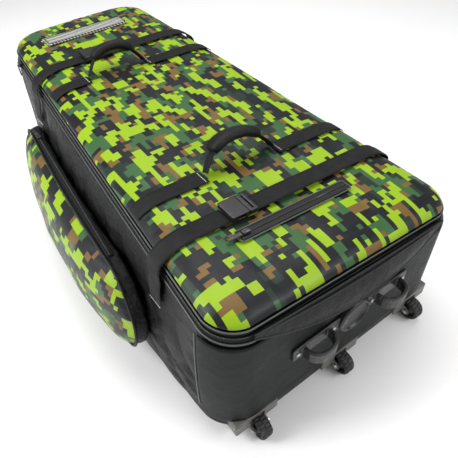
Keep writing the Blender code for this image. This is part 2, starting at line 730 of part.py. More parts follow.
def build_buckle(which, x, y):
    """Side-release buckle: a hollow half on the left strap, a pronged half on the right one."""
    lift = STRAP_LAY + 0.0004
    half_l, half_w = BUCKLE_LENGTH / 2, BUCKLE_WIDTH / 2
    shell = BUCKLE_SHELL
    female = box(f"{which}_buckle_female", (-half_l, -half_w, 0), (half_l, half_w, BUCKLE_THICK),
                 "buckle_plastic", bevel=0.0018)
    hollow = box(f"{which}_buckle_hollow", (-half_l + 0.007, -half_w + shell, shell),
                 (half_l + 0.01, half_w - shell, BUCKLE_THICK - shell), "steel")
    window = box(f"{which}_buckle_window", (-half_l * 0.35, -half_w - 0.01, shell + 0.001),
                 (half_l * 0.45, half_w + 0.01, BUCKLE_THICK - shell - 0.001), "steel")
    for piece in (female, hollow, window):
        lie_on_lid(piece, x, y, lift, strap_bend(-1, y))
    cut(female, hollow)
    cut(female, window)

    start = half_l + 0.0006
    body = box(f"{which}_buckle_male", (start, -half_w, 0), (start + MALE_LENGTH, half_w, BUCKLE_THICK - 0.001),
               "buckle_plastic", bevel=0.0016)
    pieces = [body]
    prong_low, prong_high = shell + 0.0008, BUCKLE_THICK - shell - 0.0008
    reach = -half_l + 0.010
    for number, (centre, width) in enumerate(((0.0, 0.006), (-half_w + 0.0062, 0.005), (half_w - 0.0062, 0.005))):
        prong = box(f"{which}_prong_{number}", (reach, centre - width / 2, prong_low),
                    (start + 0.004, centre + width / 2, prong_high), "steel")
        pieces.append(prong)
    slot = box(f"{which}_male_slot", (start + MALE_LENGTH * 0.45, -half_w + 0.005, -0.01),
               (start + MALE_LENGTH * 0.62, half_w - 0.005, 0.03), "steel")
    for piece in (*pieces, slot):
        lie_on_lid(piece, x, y, lift, (x + start, y, lid_top(x + start, y) + lift))
    for prong in pieces[1:]:
        join_with(body, prong)
    cut(body, slot)


def build_straps():
    for which, y, buckle_x in (("near", NEAR_STRAP_Y, NEAR_BUCKLE_X), ("far", FAR_STRAP_Y, FAR_BUCKLE_X)):
        left_end = buckle_x - BUCKLE_LENGTH / 2 - 0.0008
        right_end = buckle_x + BUCKLE_LENGTH / 2 + MALE_LENGTH + 0.0016
        build_strap(f"{which}_strap_left", -1, y, left_end, strap_foot(-1, y))
        build_strap(f"{which}_strap_right_lower", 1, y, right_end, strap_foot(1, y), "lower")
        build_strap(f"{which}_strap_right_upper", 1, y, right_end, strap_bend(1, y), "upper")
        build_buckle(which, buckle_x, y)


# ---------------------------------------------------------------- side pocket
def pocket_grid(depth_of):
    """Rows along Y, each from the pocket's bottom edge to its top edge."""
    low_y, high_y = POCKET_Y
    middle, half_length = (low_y + high_y) / 2, (high_y - low_y) / 2
    centre_z, half_height = (POCKET_BOTTOM + POCKET_TOP) / 2, (POCKET_TOP - POCKET_BOTTOM) / 2
    grid = []
    for along_pocket in spread(18):
        y = middle + half_length * along_pocket
        past = max(abs(y - middle) - (half_length - POCKET_ROUND), 0.0)
        drop = POCKET_ROUND - math.sqrt(max(POCKET_ROUND ** 2 - past ** 2, 0.0))
        reach = half_height - min(drop, half_height - 0.004)
        line = []
        for across in spread(8):
            z = centre_z + reach * across
            level = (z - BASE_Z) / (rim_z(-straight_half(y), y) - BASE_Z)
            room = 1 - min(math.hypot(along_pocket ** 3, across ** 2), 1.0)
            line.append((-(wall_half(y, level) + LAY + depth_of(room)), y, z))
        grid.append(line)
    return grid


def pocket_zip_line():
    """Both ends of the straight zip on the pocket's top gusset."""
    ends = []
    for y in (POCKET_Y[0] + POCKET_ROUND + 0.012, POCKET_Y[1] - POCKET_ROUND - 0.012):
        level = (POCKET_TOP - BASE_Z) / (rim_z(-straight_half(y), y) - BASE_Z)
        ends.append(Vector((-(wall_half(y, level) + LAY + POCKET_GUSSET * 0.62), y, POCKET_TOP + GAP)))
    return ends


def build_side_pocket():
    slab("side_pocket", pocket_grid(lambda room: POCKET_GUSSET + POCKET_DOME * room ** 0.7),
         pocket_grid(lambda room: 0.0), "camo_fabric")
    near, far = pocket_zip_line()
    upper, under = [], []
    for spot in (near, far):
        sides = (spot + Vector((-POCKET_ZIP_HALF, 0, 0)), spot + Vector((POCKET_ZIP_HALF, 0, 0)))
        under.append([tuple(point) for point in sides])
        upper.append([tuple(point + Vector((0, 0, POCKET_ZIP_THICK))) for point in sides])
    slab("pocket_zip", upper, under, "zip_tape")


# ---------------------------------------------------------------- zip sliders and their pulls
def build_sliders():
    """A slider on each zip, with a pull tab hinged to it."""
    thick, length, height = SLIDER_SIZE
    tab_thick, tab_width, tab_length = PULL_SIZE

    y = ZIP_END_Y - 0.012
    rest_x = -(half_width(y) - TAPE_LEAN / 2 * 0.5) - 0.0012 - thick / 2
    rest_z = rim_z(rest_x, y) + GAP + ZIP_TAPE
    box("main_zip_slider", (rest_x - thick / 2, y - length / 2, rest_z - height / 2),
        (rest_x + thick / 2, y + length / 2, rest_z + height / 2), "zip_metal",
        (rest_x, y, rest_z), bevel=0.0015)
    hang_x = rest_x - thick / 2 - GAP - tab_thick / 2
    box("main_zip_pull", (hang_x - tab_thick / 2, y - tab_width / 2, rest_z - tab_length),
        (hang_x + tab_thick / 2, y + tab_width / 2, rest_z), "zip_metal", (hang_x, y, rest_z), bevel=0.0008)

    x = SLOT_X[0] + 0.014
    low = 0.0006
    slider = box("lid_zip_slider", (-length / 2, -height / 2, 0), (length / 2, height / 2, thick * 0.6),
                 "zip_metal", bevel=0.0015)
    tape_top = LAY + SLOT_TAPE_THICK
    here = (x, SLOT_Y, lid_top(x, SLOT_Y) + tape_top + low)
    lie_on_lid(slider, x, SLOT_Y, tape_top + low, here)
    swing_at = length / 2 + GAP + tab_thick / 2
    pull = box("lid_zip_pull", (-swing_at - tab_length, -tab_width / 2, low),
               (-swing_at, tab_width / 2, low + tab_thick), "zip_metal", bevel=0.0008)
    hinge = (x - swing_at, SLOT_Y, lid_top(x - swing_at, SLOT_Y) + tape_top + 2 * low + tab_thick / 2)
    lie_on_lid(pull, x, SLOT_Y, tape_top + low, hinge)

    near, far = pocket_zip_line()
    run = (far - near).normalized()
    spot = far - run * 0.020
    top = spot.z + POCKET_ZIP_THICK + low
    box("pocket_zip_slider", (spot.x - height / 2, spot.y - length / 2, top),
        (spot.x + height / 2, spot.y + length / 2, top + thick * 0.6), "zip_metal",
        (spot.x, spot.y, top), bevel=0.0015)
    pull_y = spot.y + swing_at
    box("pocket_zip_pull", (spot.x - tab_width / 2, pull_y, top + low),
        (spot.x + tab_width / 2, pull_y + tab_length, top + low + tab_thick), "zip_metal",
        (spot.x, pull_y, top + low + tab_thick / 2), bevel=0.0008)


# ---------------------------------------------------------------- piping
def round_loop(name, points, radius, slot):
    """A closed cord of six-sided section along a line of points."""
    rings = []
    count = len(points)
    for k, point in enumerate(points):
        here = Vector(point)
        ahead = Vector(points[(k + 1) % count])
        behind = Vector(points[k - 1])
        along_line = (ahead - behind).normalized()
        side = along_line.cross(Vector((0, 0, 1))).normalized()
        top = side.cross(along_line)
        rings.append([here + radius * (math.cos(a) * side + math.sin(a) * top)
                      for a in [math.pi / 3 * n for n in range(6)]])
    return loft(name, rings, slot, closed=True)


def build_piping():
    out = 0.0024 + PIPING_RADIUS
    low = ring_points(1.0, -out, lambda x, y: rim_z(x, y) - 0.0010, rows(-out))
    round_loop("tub_piping", low, PIPING_RADIUS, "piping")
    edge = LID_INSET - PIPING_RADIUS - 0.0015
    high = ring_points(1.0, edge, lambda x, y: rim_z(x, y) + LID_Z + LID_THICK * 0.62, rows(edge))
    round_loop("lid_piping", high, PIPING_RADIUS, "piping")


def recentre():
    """Put the origin on the floor under the middle of everything that is part of the bag."""
    bpy.context.view_layer.update()
    low, high = Vector((1e9, 1e9, 1e9)), Vector((-1e9, -1e9, -1e9))
    for thing in bpy.data.objects:
        if thing.hide_render or thing.type != "MESH":
            continue
        for vertex in thing.data.vertices:
            spot = thing.matrix_world @ vertex.co
            low = Vector(map(min, low, spot))
            high = Vector(map(max, high, spot))
    shift = Vector(((low.x + high.x) / 2, (low.y + high.y) / 2, 0))
    for thing in bpy.data.objects:
        thing.location -= shift
    print("middle of the bag's box", tuple(round(value, 5) for value in shift))
    print("box", tuple(round(value, 4) for value in high - low))


def build_bag():
    clear_scene()
    tub = build_tub()
    build_zip_and_hinge()
    build_end_panel()
    for side, x in WHEELS:
        build_wheel(side, x)
    let_guards_in(tub)
    build_base()
    build_grab_handle()
    build_lid()
    build_lid_trim()
    build_storm_flap()
    build_handle("near", NEAR_HANDLE_Y, NEAR_HANDLE_FEET)
    build_handle("far", FAR_HANDLE_Y, FAR_HANDLE_FEET)
    build_straps()
    build_side_pocket()
    build_sliders()
    build_piping()
    recentre()


build_bag()
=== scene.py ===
# %% [markdown]
# # A rolling duffel bag
#
# The bag lies on its back: a padded tub with a zipped lid, straps and handles on top, a bulging
# pocket on its left side and three wheels at its wide end.  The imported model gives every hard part
# and every joint.  Here each soft part becomes a fine surface worked out from the same few sizes,
# so that cloth, webbing and zips sit exactly where the hard parts expect them.

import math

import bmesh
import bpy
import numpy as np
from mathutils import Matrix, Vector


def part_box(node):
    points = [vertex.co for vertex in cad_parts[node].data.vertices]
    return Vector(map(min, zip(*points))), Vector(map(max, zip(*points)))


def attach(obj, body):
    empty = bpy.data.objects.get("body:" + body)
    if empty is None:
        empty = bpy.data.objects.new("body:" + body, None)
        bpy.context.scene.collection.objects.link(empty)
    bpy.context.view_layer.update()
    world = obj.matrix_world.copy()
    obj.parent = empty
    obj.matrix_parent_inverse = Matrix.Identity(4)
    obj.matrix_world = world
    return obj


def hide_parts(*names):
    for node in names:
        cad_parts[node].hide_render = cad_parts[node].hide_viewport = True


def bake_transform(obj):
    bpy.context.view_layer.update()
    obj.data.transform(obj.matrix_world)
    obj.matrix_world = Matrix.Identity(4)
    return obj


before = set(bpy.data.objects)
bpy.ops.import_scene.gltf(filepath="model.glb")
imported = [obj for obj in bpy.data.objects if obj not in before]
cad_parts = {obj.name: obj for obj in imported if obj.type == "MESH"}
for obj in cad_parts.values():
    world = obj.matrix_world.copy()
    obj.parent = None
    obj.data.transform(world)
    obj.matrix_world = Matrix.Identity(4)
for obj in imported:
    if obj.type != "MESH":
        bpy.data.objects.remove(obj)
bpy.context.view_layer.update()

# %% [markdown]
# ## The bag's own coordinates
#
# The outline is easiest to write about the bag's middle line, so every formula below uses bag
# coordinates, and one shift carries the finished points into the frame.  The middle wheel gives the
# shift across and the lid gives it lengthwise.

# %% where the bag's middle is
wheel_box = np.array(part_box("tyre_middle"))
lid_box = np.array(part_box("lid_shell"))
SHIFT = np.array([wheel_box[:, 0].mean(), lid_box[:, 1].mean(), 0.0])
print("bag middle", SHIFT.round(4))

# %% [markdown]
# ## Driving sizes
#
# These are the sizes that the bag was cut to, in metres.  The rim is level at the hinge end and has
# slumped to the right at the wheeled end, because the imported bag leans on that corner.

# %% sizes
BAG_LENGTH, NEAR_WIDTH, FAR_WIDTH = 1.100, 0.560, 0.384
HALF = BAG_LENGTH / 2
NEAR_CORNER, FAR_CORNER = 0.060, 0.085
BASE_Z, BASE_ROUND = 0.034, 0.012
RIM_NEAR_LEFT, RIM_NEAR_RIGHT, RIM_FAR = 0.326, 0.266, 0.348
SIDE_BULGE, WALL = 0.060, 0.006
ZIP_BAND, LID_INSET, LID_THICK = 0.0206, 0.007, 0.006
CROWN, CROWN_ROLL = 0.026, 0.060
PIPING = 0.0015
WEBBING = 0.0018
LAY = 0.0016
ZIP_END_Y = HALF - FAR_CORNER - 0.010
NEAR_STRAP_Y, FAR_STRAP_Y = -0.360, 0.285
STRAP_WIDE, BAND_WIDE, LOOP_WIDE = 0.038, 0.036, 0.022
HANDLES = (("near", -0.255, (-0.100, 0.066)), ("far", 0.185, (-0.118, 0.030)))
TAPER = math.atan2((NEAR_WIDTH - FAR_WIDTH) / 2, BAG_LENGTH)

# %% [markdown]
# ## The outline and the crowned lid as formulas
#
# Seen from above, the bag is a tapered strip with four round corners.  Its walls swell outwards
# between the base and the rim, and the lid rises from its edge in a quarter-circle roll and then
# stays almost flat.  Writing these as functions of whole arrays lets the tub, the zip, the piping and
# the straps share one shape.

# %% outline, walls and lid


def along(y):
    """0 at the wheeled end, 1 at the hinge end."""
    return np.asarray(y) / BAG_LENGTH + 0.5


def straight_half(y, inset=0.0):
    """Half width of the tapered strip, its edges moved in by inset."""
    return NEAR_WIDTH / 2 + (FAR_WIDTH - NEAR_WIDTH) / 2 * along(y) - inset / math.cos(TAPER)


def half_width(y, inset=0.0):
    """The strip's half width, or the corner's circle where the point has passed its tangent point."""
    y = np.asarray(y, float)
    half = straight_half(y, inset)
    for end, corner, turn in ((-1, NEAR_CORNER, TAPER), (1, FAR_CORNER, -TAPER)):
        radius = max(corner - inset, 0.004)
        centre_y = end * (HALF - inset - radius)
        centre_x = straight_half(centre_y, inset) - radius / math.cos(TAPER)
        reach = end * (y - centre_y)
        arc = centre_x + np.sqrt(np.maximum(radius**2 - np.minimum(reach, radius) ** 2, 0))
        half = np.where(reach > -radius * math.sin(turn), arc, half)
    return half


def rim_z(x, y):
    """Rim height: a plane between three corner heights, twisted along the bag."""
    side = np.clip(np.asarray(x) / NEAR_WIDTH + 0.5, 0, 1)
    near = RIM_NEAR_LEFT + (RIM_NEAR_RIGHT - RIM_NEAR_LEFT) * side
    return near + (RIM_FAR - near) * along(y)


def bulge(y, level):
    """Swell of a wall: a sine along the bag, times a cosine from base (level 0) to rim (level 1)."""
    lengthwise = np.maximum(np.sin(np.pi * along(y)), 0) ** 0.8
    upright = np.maximum(np.cos(np.pi / 2 * level), 0) ** 0.7
    return SIDE_BULGE * lengthwise * upright * (0.90 + 0.10 * np.minimum(level / 0.3, 1))


def rolled(distance):
    """Quarter circle from 0 at the lid's edge to 1 at CROWN_ROLL inside it."""
    return np.sqrt(1 - (1 - np.clip(distance / CROWN_ROLL, 0, 1)) ** 2)


def lid_top(x, y):
    """Rim height plus the zip band, the lid's thickness and the roll from the nearest two edges."""
    from_side = half_width(y, LID_INSET) - np.abs(x)
    from_end = HALF - LID_INSET - np.abs(y)
    return rim_z(x, y) + ZIP_BAND + LID_THICK + CROWN * rolled(from_side) * rolled(from_end)


print("lid middle at", round(float(lid_top(0.0, 0.0)), 4))

# %% [markdown]
# ## Helpers for surfaces
#
# Every new piece is a grid of points: a function of two parameters, or a profile carried along a
# path.  One helper turns such a grid into a mesh whose faces look outwards, and stores the distance
# along both directions in metres as a UV map, so that weave and ribs keep their true size.

# %% grids to meshes


def resample(points, count, closed=False):
    """Points at equal steps along a line, by the length walked."""
    points = np.asarray(points, float)
    walked = np.r_[0, np.cumsum(np.linalg.norm(np.diff(points, axis=0), axis=1))]
    wanted = np.linspace(0, walked[-1], count + 1)[:-1] if closed else np.linspace(0, walked[-1], count)
    return np.stack([np.interp(wanted, walked, points[:, k]) for k in range(points.shape[1])], 1)


def rounded(points, passes=3):
    """An open line with its corners cut again and again, which tends to a smooth curve."""
    points = np.asarray(points, float)
    for _ in range(passes):
        first = 0.75 * points[:-1] + 0.25 * points[1:]
        second = 0.25 * points[:-1] + 0.75 * points[1:]
        middle = np.stack([first, second], 1).reshape(-1, points.shape[1])
        points = np.vstack([points[:1], middle, points[-1:]])
    return points


def close_at_ends(count):
    """-1 to 1 in steps that shrink towards both ends, as a sine does."""
    return np.sin(np.linspace(-np.pi / 2, np.pi / 2, count))


def unit(vectors):
    """Each vector at length 1."""
    return vectors / np.maximum(np.linalg.norm(vectors, axis=-1, keepdims=True), 1e-12)


def surface(name, grid, finish, wrap_u=False, wrap_v=False, cap_u=False, cap_v=False, thick=0.0, shift=True):
    """A grid of points (u, v, 3) as a mesh that looks along du x dv, with an optional wall inside it."""
    grid = np.asarray(grid, float) + (SHIFT if shift else 0.0)
    count_u, count_v = grid.shape[:2]
    steps_u, steps_v = np.arange(count_u - (not wrap_u)), np.arange(count_v - (not wrap_v))
    across, up = np.meshgrid(steps_u, steps_v, indexing="ij")
    corners = [(across, up), (across + 1, up), (across + 1, up + 1), (across, up + 1)]
    faces = np.stack([(i % count_u) * count_v + j % count_v for i, j in corners], -1).reshape(-1, 4).tolist()
    if cap_v:
        faces.append([i * count_v for i in range(count_u)][::-1])
    if cap_u:
        faces.append(list(range(count_v)))
        faces.append([(count_u - 1) * count_v + j for j in range(count_v)][::-1])
    mesh = bpy.data.meshes.new(name)
    mesh.from_pydata(grid.reshape(-1, 3).tolist(), [], faces)
    long_u = np.linalg.norm(np.diff(grid[:, count_v // 2], axis=0), axis=1).sum() / max(count_u - 1, 1)
    long_v = np.linalg.norm(np.diff(grid[count_u // 2], axis=0), axis=1).sum() / max(count_v - 1, 1)
    flat = np.stack([np.stack([i * long_u, j * long_v], -1) for i, j in corners], 2).reshape(-1, 2)
    uv = np.zeros((len(mesh.loops), 2))
    uv[: len(flat)] = flat
    mesh.uv_layers.new(name="UVMap").data.foreach_set("uv", uv.ravel())
    mesh.shade_smooth()
    mesh.materials.append(finish)
    piece = bpy.data.objects.new(name, mesh)
    bpy.context.scene.collection.objects.link(piece)
    if thick:
        wall = piece.modifiers.new("wall", "SOLIDIFY")
        wall.thickness = thick
        wall.offset = -1
        wall.use_even_offset = False
    return piece


def rod(name, grid, finish):
    """An open run of a closed section, capped at both ends."""
    return surface(name, grid, finish, wrap_v=True, cap_u=True)


def sweep(path, profile, side=None, scale=None):
    """A closed profile of (side, up) points carried along a path; side defaults to level and outwards."""
    tangent = unit(np.gradient(path, axis=0))
    side = np.cross(tangent, [0, 0, 1.0]) if side is None else np.broadcast_to(side, path.shape)
    side = unit(side)
    up = unit(np.cross(side, tangent))
    scale = np.ones(len(path)) if scale is None else scale
    reach = profile[None, :, :, None] * scale[:, None, None, None]
    return path[:, None] + reach[:, :, 0] * side[:, None] + reach[:, :, 1] * up[:, None]


def settle(piece, node, body):
    """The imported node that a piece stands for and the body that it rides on."""
    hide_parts(node)
    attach(piece, body)


def circle(radius, count=10):
    """Points of a round profile."""
    angle = np.arange(count) * 2 * np.pi / count
    return radius * np.stack([np.cos(angle), np.sin(angle)], 1)


def tape(width, thick, count=9):
    """Profile of a woven tape: flat underneath from -width/2 to width/2, its top edges rounded."""
    x = np.linspace(-0.5, 0.5, count)
    dome = thick * (1 - 0.5 * np.abs(2 * x) ** 12)
    top = np.stack([x * width, dome], 1)[::-1]
    under = np.stack([x * width, np.zeros(count)], 1)
    return np.vstack([under, top])


def value_noise(u, v, seed, wrap=64):
    """Random values at whole-numbered points of a lattice, joined by smooth steps; u repeats after wrap."""
    table = np.random.default_rng(seed).random((64, 64))
    low_u, low_v = np.floor(u).astype(int), np.floor(v).astype(int)
    part_u, part_v = u - low_u, v - low_v
    part_u = part_u * part_u * (3 - 2 * part_u)
    part_v = part_v * part_v * (3 - 2 * part_v)
    rows = [low_u % wrap % 64, (low_u + 1) % wrap % 64]
    columns = [low_v % 64, (low_v + 1) % 64]
    low = table[rows[0], columns[0]] * (1 - part_u) + table[rows[1], columns[0]] * part_u
    high = table[rows[0], columns[1]] * (1 - part_u) + table[rows[1], columns[1]] * part_u
    return low * (1 - part_v) + high * part_v


def creases(u, v, seed, wrap=64):
    """Soft ridges where the noise passes its middle value, as where cloth folds."""
    return (1 - np.abs(2 * value_noise(u, v, seed, wrap) - 1)) ** 3


def outline(inset=0.0, level=1.0, count=640):
    """Equal steps round the bag, from the middle of the hinge end down the left side and back."""
    y = close_at_ends(300) * (HALF - inset)
    half = half_width(y, inset) + bulge(y, level)
    left = np.stack([-half, y], 1)[::-1]
    right = np.stack([half, y], 1)
    loop = np.vstack([[[0, y[-1]]], left, [[0, y[0]]], right, [[0, y[-1]]]])
    return resample(loop, count, closed=True)


def rim_line(inset, lift, count=1200, zip_only=False):
    """The outline lifted onto the rim; zip_only keeps the part that the zip follows."""
    flat = outline(inset, 1.0, count)
    line = np.column_stack([flat, rim_z(flat[:, 0], flat[:, 1]) + lift])
    return line[flat[:, 1] < ZIP_END_Y] if zip_only else line


# %% [markdown]
# ## Building node materials
#
# A small helper keeps the node trees readable: it adds a node, fills its inputs with numbers or with
# other nodes' outputs, and returns it.

# %% node helpers


class Tree:
    """A node tree with short calls for adding and joining nodes."""

    def __init__(self, tree):
        self.tree = tree

    def add(self, kind, inputs=None, **settings):
        made = self.tree.nodes.new("ShaderNode" + kind)
        for key, value in settings.items():
            setattr(made, key, value)
        for key, value in (inputs or {}).items():
            if isinstance(value, bpy.types.NodeSocket):
                self.tree.links.new(value, made.inputs[key])
            else:
                made.inputs[key].default_value = value
        return made

    def maths(self, operation, a, b=0.0, c=0.0):
        return self.add("Math", {0: a, 1: b, 2: c}, operation=operation).outputs[0]

    def mix(self, share, a, b):
        made = self.add("Mix", {0: share, 6: a, 7: b}, data_type="RGBA")
        return made.outputs[2]

    def noise(self, vector, scale, detail=2.0, rough=0.5):
        inputs = {"Vector": vector, "Scale": scale, "Detail": detail, "Roughness": rough}
        return self.add("TexNoise", inputs).outputs["Fac"]

    def step(self, value, low, high, to_low=0.0, to_high=1.0):
        inputs = {"Value": value, "From Min": low, "From Max": high, "To Min": to_low, "To Max": to_high}
        return self.add("MapRange", inputs).outputs[0]


def new_group(name, inputs, outputs):
    """An empty shader group with named sockets; inputs maps a name to (type, default)."""
    group = bpy.data.node_groups.new(name, "ShaderNodeTree")
    for key, (kind, default) in inputs.items():
        socket = group.interface.new_socket(key, in_out="INPUT", socket_type="NodeSocket" + kind)
        if default is not None:
            socket.default_value = default
    for key, kind in outputs.items():
        group.interface.new_socket(key, in_out="OUTPUT", socket_type="NodeSocket" + kind)
    tree = Tree(group)
    entry = group.nodes.new("NodeGroupInput")
    leave = group.nodes.new("NodeGroupOutput")
    return group, tree, entry.outputs, leave.inputs


def use(tree, group, inputs):
    """A group placed in a material."""
    made = tree.tree.nodes.new("ShaderNodeGroup")
    made.node_tree = group
    for key, value in inputs.items():
        if isinstance(value, bpy.types.NodeSocket):
            tree.tree.links.new(value, made.inputs[key])
        else:
            made.inputs[key].default_value = value
    return made.outputs


def shader(name, roughness, **plain):
    """A material with a Principled BSDF; plain values are set on its own sockets."""
    made = bpy.data.materials.new(name)
    made.use_nodes = True
    tree = Tree(made.node_tree)
    bsdf = made.node_tree.nodes["Principled BSDF"]
    bsdf.inputs["Roughness"].default_value = roughness
    for key, value in plain.items():
        bsdf.inputs[key.replace("_", " ")].default_value = value
    return made, tree, bsdf


def drive(tree, bsdf, **links):
    """Join outputs to the shader's sockets."""
    for key, value in links.items():
        tree.tree.links.new(value, bsdf.inputs[key.replace("_", " ")])


# %% [markdown]
# ## Cloth, webbing and grain groups
#
# Plain woven cloth is a fine checker of thread tops with small differences from thread to thread,
# and the thread tops are painted lighter than the hollows as painted shade.  Webbing shows raised
# cross ribs, painted lighter on top and darker in the grooves as painted highlight and shade.  Moulded
# plastic has a leathery micro texture.  Each is one group with its own pitch and depth, used by
# several finishes.

# %% woven cloth
cloth, tree, given, result = new_group(
    "woven_cloth",
    {"Vector": ("Vector", None), "Pitch": ("Float", 0.0012), "Crumple": ("Float", 0.4)},
    {"Height": "Float", "Tone_and_painted_shade": "Float"},
)
turn = tree.maths("DIVIDE", 2 * math.pi, given["Pitch"])
parts = tree.add("SeparateXYZ", {0: given["Vector"]}).outputs
warp = tree.maths("SINE", tree.maths("MULTIPLY", tree.maths("ADD", parts[0], parts[2]), turn))
weft = tree.maths("SINE", tree.maths("MULTIPLY", tree.maths("ADD", parts[1], parts[2]), turn))
threads = tree.maths("MULTIPLY", warp, weft)
fibre = tree.noise(given["Vector"], 900.0, 1.0)
crumple = tree.noise(given["Vector"], 26.0, 4.0, 0.55)
soft = tree.maths("MULTIPLY", crumple, given["Crumple"])
weave = tree.maths("MULTIPLY_ADD", threads, 0.00012, tree.maths("MULTIPLY", fibre, 0.00008))
tree.tree.links.new(tree.maths("MULTIPLY_ADD", soft, 0.012, weave), result["Height"])
patchy = tree.step(tree.noise(given["Vector"], 9.0, 3.0), 0.3, 0.7, 0.9, 1.1)
# Thread tops painted lighter and hollows darker: painted shade that follows the weave, on a random patchy
# tone.
tone_and_painted_shade = tree.maths("MULTIPLY_ADD", threads, 0.06, patchy)
tree.tree.links.new(tone_and_painted_shade, result["Tone_and_painted_shade"])
print("group", cloth.name)

# %% webbing ribs
ribs, tree, given, result = new_group(
    "webbing_ribs", {"Pitch": ("Float", 0.0026)}, {"Height": "Float", "Tone_and_painted_shade": "Float"}
)
uv = tree.add("SeparateXYZ", {0: tree.add("TexCoord").outputs["UV"]}).outputs
turn = tree.maths("DIVIDE", 2 * math.pi, given["Pitch"])
across = tree.maths("SINE", tree.maths("MULTIPLY", uv[0], turn))
lengthwise = tree.maths("SINE", tree.maths("MULTIPLY", uv[1], tree.maths("MULTIPLY", turn, 0.6)))
raised = tree.maths("MULTIPLY_ADD", lengthwise, 0.35, across)
tree.tree.links.new(tree.maths("MULTIPLY", raised, 0.00025), result["Height"])
# Raised ribs are painted lighter and the grooves darker, a painted highlight and painted shade that follow
# the ribs, around a colour raised 1.3 times.
tree.tree.links.new(tree.maths("MULTIPLY_ADD", raised, 0.60, 1.3), result["Tone_and_painted_shade"])
print("group", ribs.name)

# %% moulded grain
grain, tree, given, result = new_group(
    "moulded_grain",
    {"Vector": ("Vector", None), "Depth": ("Float", 0.0002)},
    {"Height": "Float", "Rough": "Float", "Scuff": "Float"},
)
pebble = tree.noise(given["Vector"], 700.0, 2.0)
stretched = tree.add("Mapping", {"Vector": given["Vector"], "Scale": (30, 240, 60)}).outputs[0]
scratch = tree.noise(stretched, 1.0, 3.0)
tree.tree.links.new(tree.maths("MULTIPLY", pebble, given["Depth"]), result["Height"])
tree.tree.links.new(tree.step(tree.noise(given["Vector"], 14.0, 3.0), 0.3, 0.7, -0.06, 0.08), result["Rough"])
tree.tree.links.new(tree.step(scratch, 0.60, 0.72), result["Scuff"])
print("group", grain.name)

# %% [markdown]
# ## The digital camouflage print
#
# The lid and the pocket are printed with stepped blocks about a centimetre wide, laid square to the
# bag.  Snapping a position to a grid of cells before it enters a noise gives every cell one value, so
# that each threshold draws a stepped island.  Three such noises, stretched along the bag, put brown,
# green and then lime islands on a charcoal ground.

# %% camouflage group
LIME = (0.25, 0.40, 0.008, 1)
BROWN = (0.150, 0.086, 0.022, 1)
GREEN = (0.034, 0.098, 0.032, 1)
CHARCOAL = (0.006, 0.007, 0.009, 1)
DARK_GREEN = (0.012, 0.026, 0.016, 1)
camo, tree, given, result = new_group(
    "digital_camo",
    {"Vector": ("Vector", None), "Cell": ("Float", 0.0098)},
    {"Color": "Color", "Ink": "Float"},
)
size = tree.add("CombineXYZ", {0: given["Cell"], 1: given["Cell"], 2: 10.0}).outputs[0]
cell = tree.add("VectorMath", {0: given["Vector"], 1: size}, operation="SNAP").outputs[0]


def island(place, scale, low):
    """1 inside the islands of one colour, 0 outside, one value for each cell."""
    moved = tree.add("Mapping", {"Vector": cell, "Location": place, "Scale": scale}).outputs[0]
    return tree.maths("GREATER_THAN", tree.noise(moved, 1.0, 1.5, 0.55), low)


ground = tree.mix(island((3.1, 7.7, 0.4), (17, 11, 1), 0.56), CHARCOAL, DARK_GREEN)
with_green = tree.mix(island((1.3, 2.9, 5.0), (27, 15, 1), 0.545), ground, GREEN)
with_brown = tree.mix(island((8.2, 4.4, 2.0), (34, 20, 1), 0.575), with_green, BROWN)
with_lime = tree.mix(island((5.6, 9.1, 7.0), (38, 18, 1), 0.545), with_brown, LIME)
tree.tree.links.new(with_lime, result["Color"])
tree.tree.links.new(tree.noise(cell, 60.0), result["Ink"])
print("group", camo.name)

# %% [markdown]
# ## Finishes
#
# The print is on a coated polyester with a slight gloss.  The sides are black polyester with a satin
# sheen, and the wheeled end is a stiffer charcoal weave.  Each finish feeds its colour, roughness and
# bump from the groups above.

# %% fabric finishes


def fabric(name, colour, roughness, pitch, crumple, bump=0.6, gloss=0.35):
    """Woven cloth of one colour, read in object space so that it needs no seams."""
    made, tree, bsdf = shader(name, roughness, Specular_IOR_Level=gloss)
    place = tree.add("TexCoord").outputs["Object"]
    threads = use(tree, cloth, {"Vector": place, "Pitch": pitch, "Crumple": crumple})
    # The cloth's colour is scaled by the weave's painted shade and its random patchy tone.
    colour_with_painted_shade = tree.add("VectorMath", {0: colour, "Scale": threads["Tone_and_painted_shade"]}, operation="SCALE").outputs[0]
    worn = tree.step(tree.noise(place, 6.0, 4.0), 0.3, 0.7, roughness - 0.07, roughness + 0.07)
    relief = tree.add("Bump", {"Strength": bump, "Distance": 1.0, "Height": threads["Height"]}).outputs[0]
    drive(tree, bsdf, Base_Color=colour_with_painted_shade, Roughness=worn, Normal=relief)
    return made


def printed(name, turned):
    """The camouflage print on coated cloth; turned puts the pattern's plane upright for the pocket."""
    made, tree, bsdf = shader(name, 0.42, Coat_Weight=0.12, Coat_Roughness=0.28, Specular_IOR_Level=0.22)
    place = tree.add("TexCoord").outputs["Object"]
    parts = tree.add("SeparateXYZ", {0: place}).outputs
    plane = tree.add("CombineXYZ", {0: parts[2 if turned else 0], 1: parts[1]}).outputs[0]
    ink = use(tree, camo, {"Vector": plane})
    threads = use(tree, cloth, {"Vector": place, "Pitch": 0.0013, "Crumple": 0.25})
    relief = tree.add("Bump", {"Strength": 0.35, "Distance": 1.0, "Height": threads["Height"]}).outputs[0]
    rough = tree.step(ink["Ink"], 0.3, 0.7, 0.36, 0.48)
    drive(tree, bsdf, Base_Color=ink["Color"], Roughness=rough, Normal=relief)
    return made


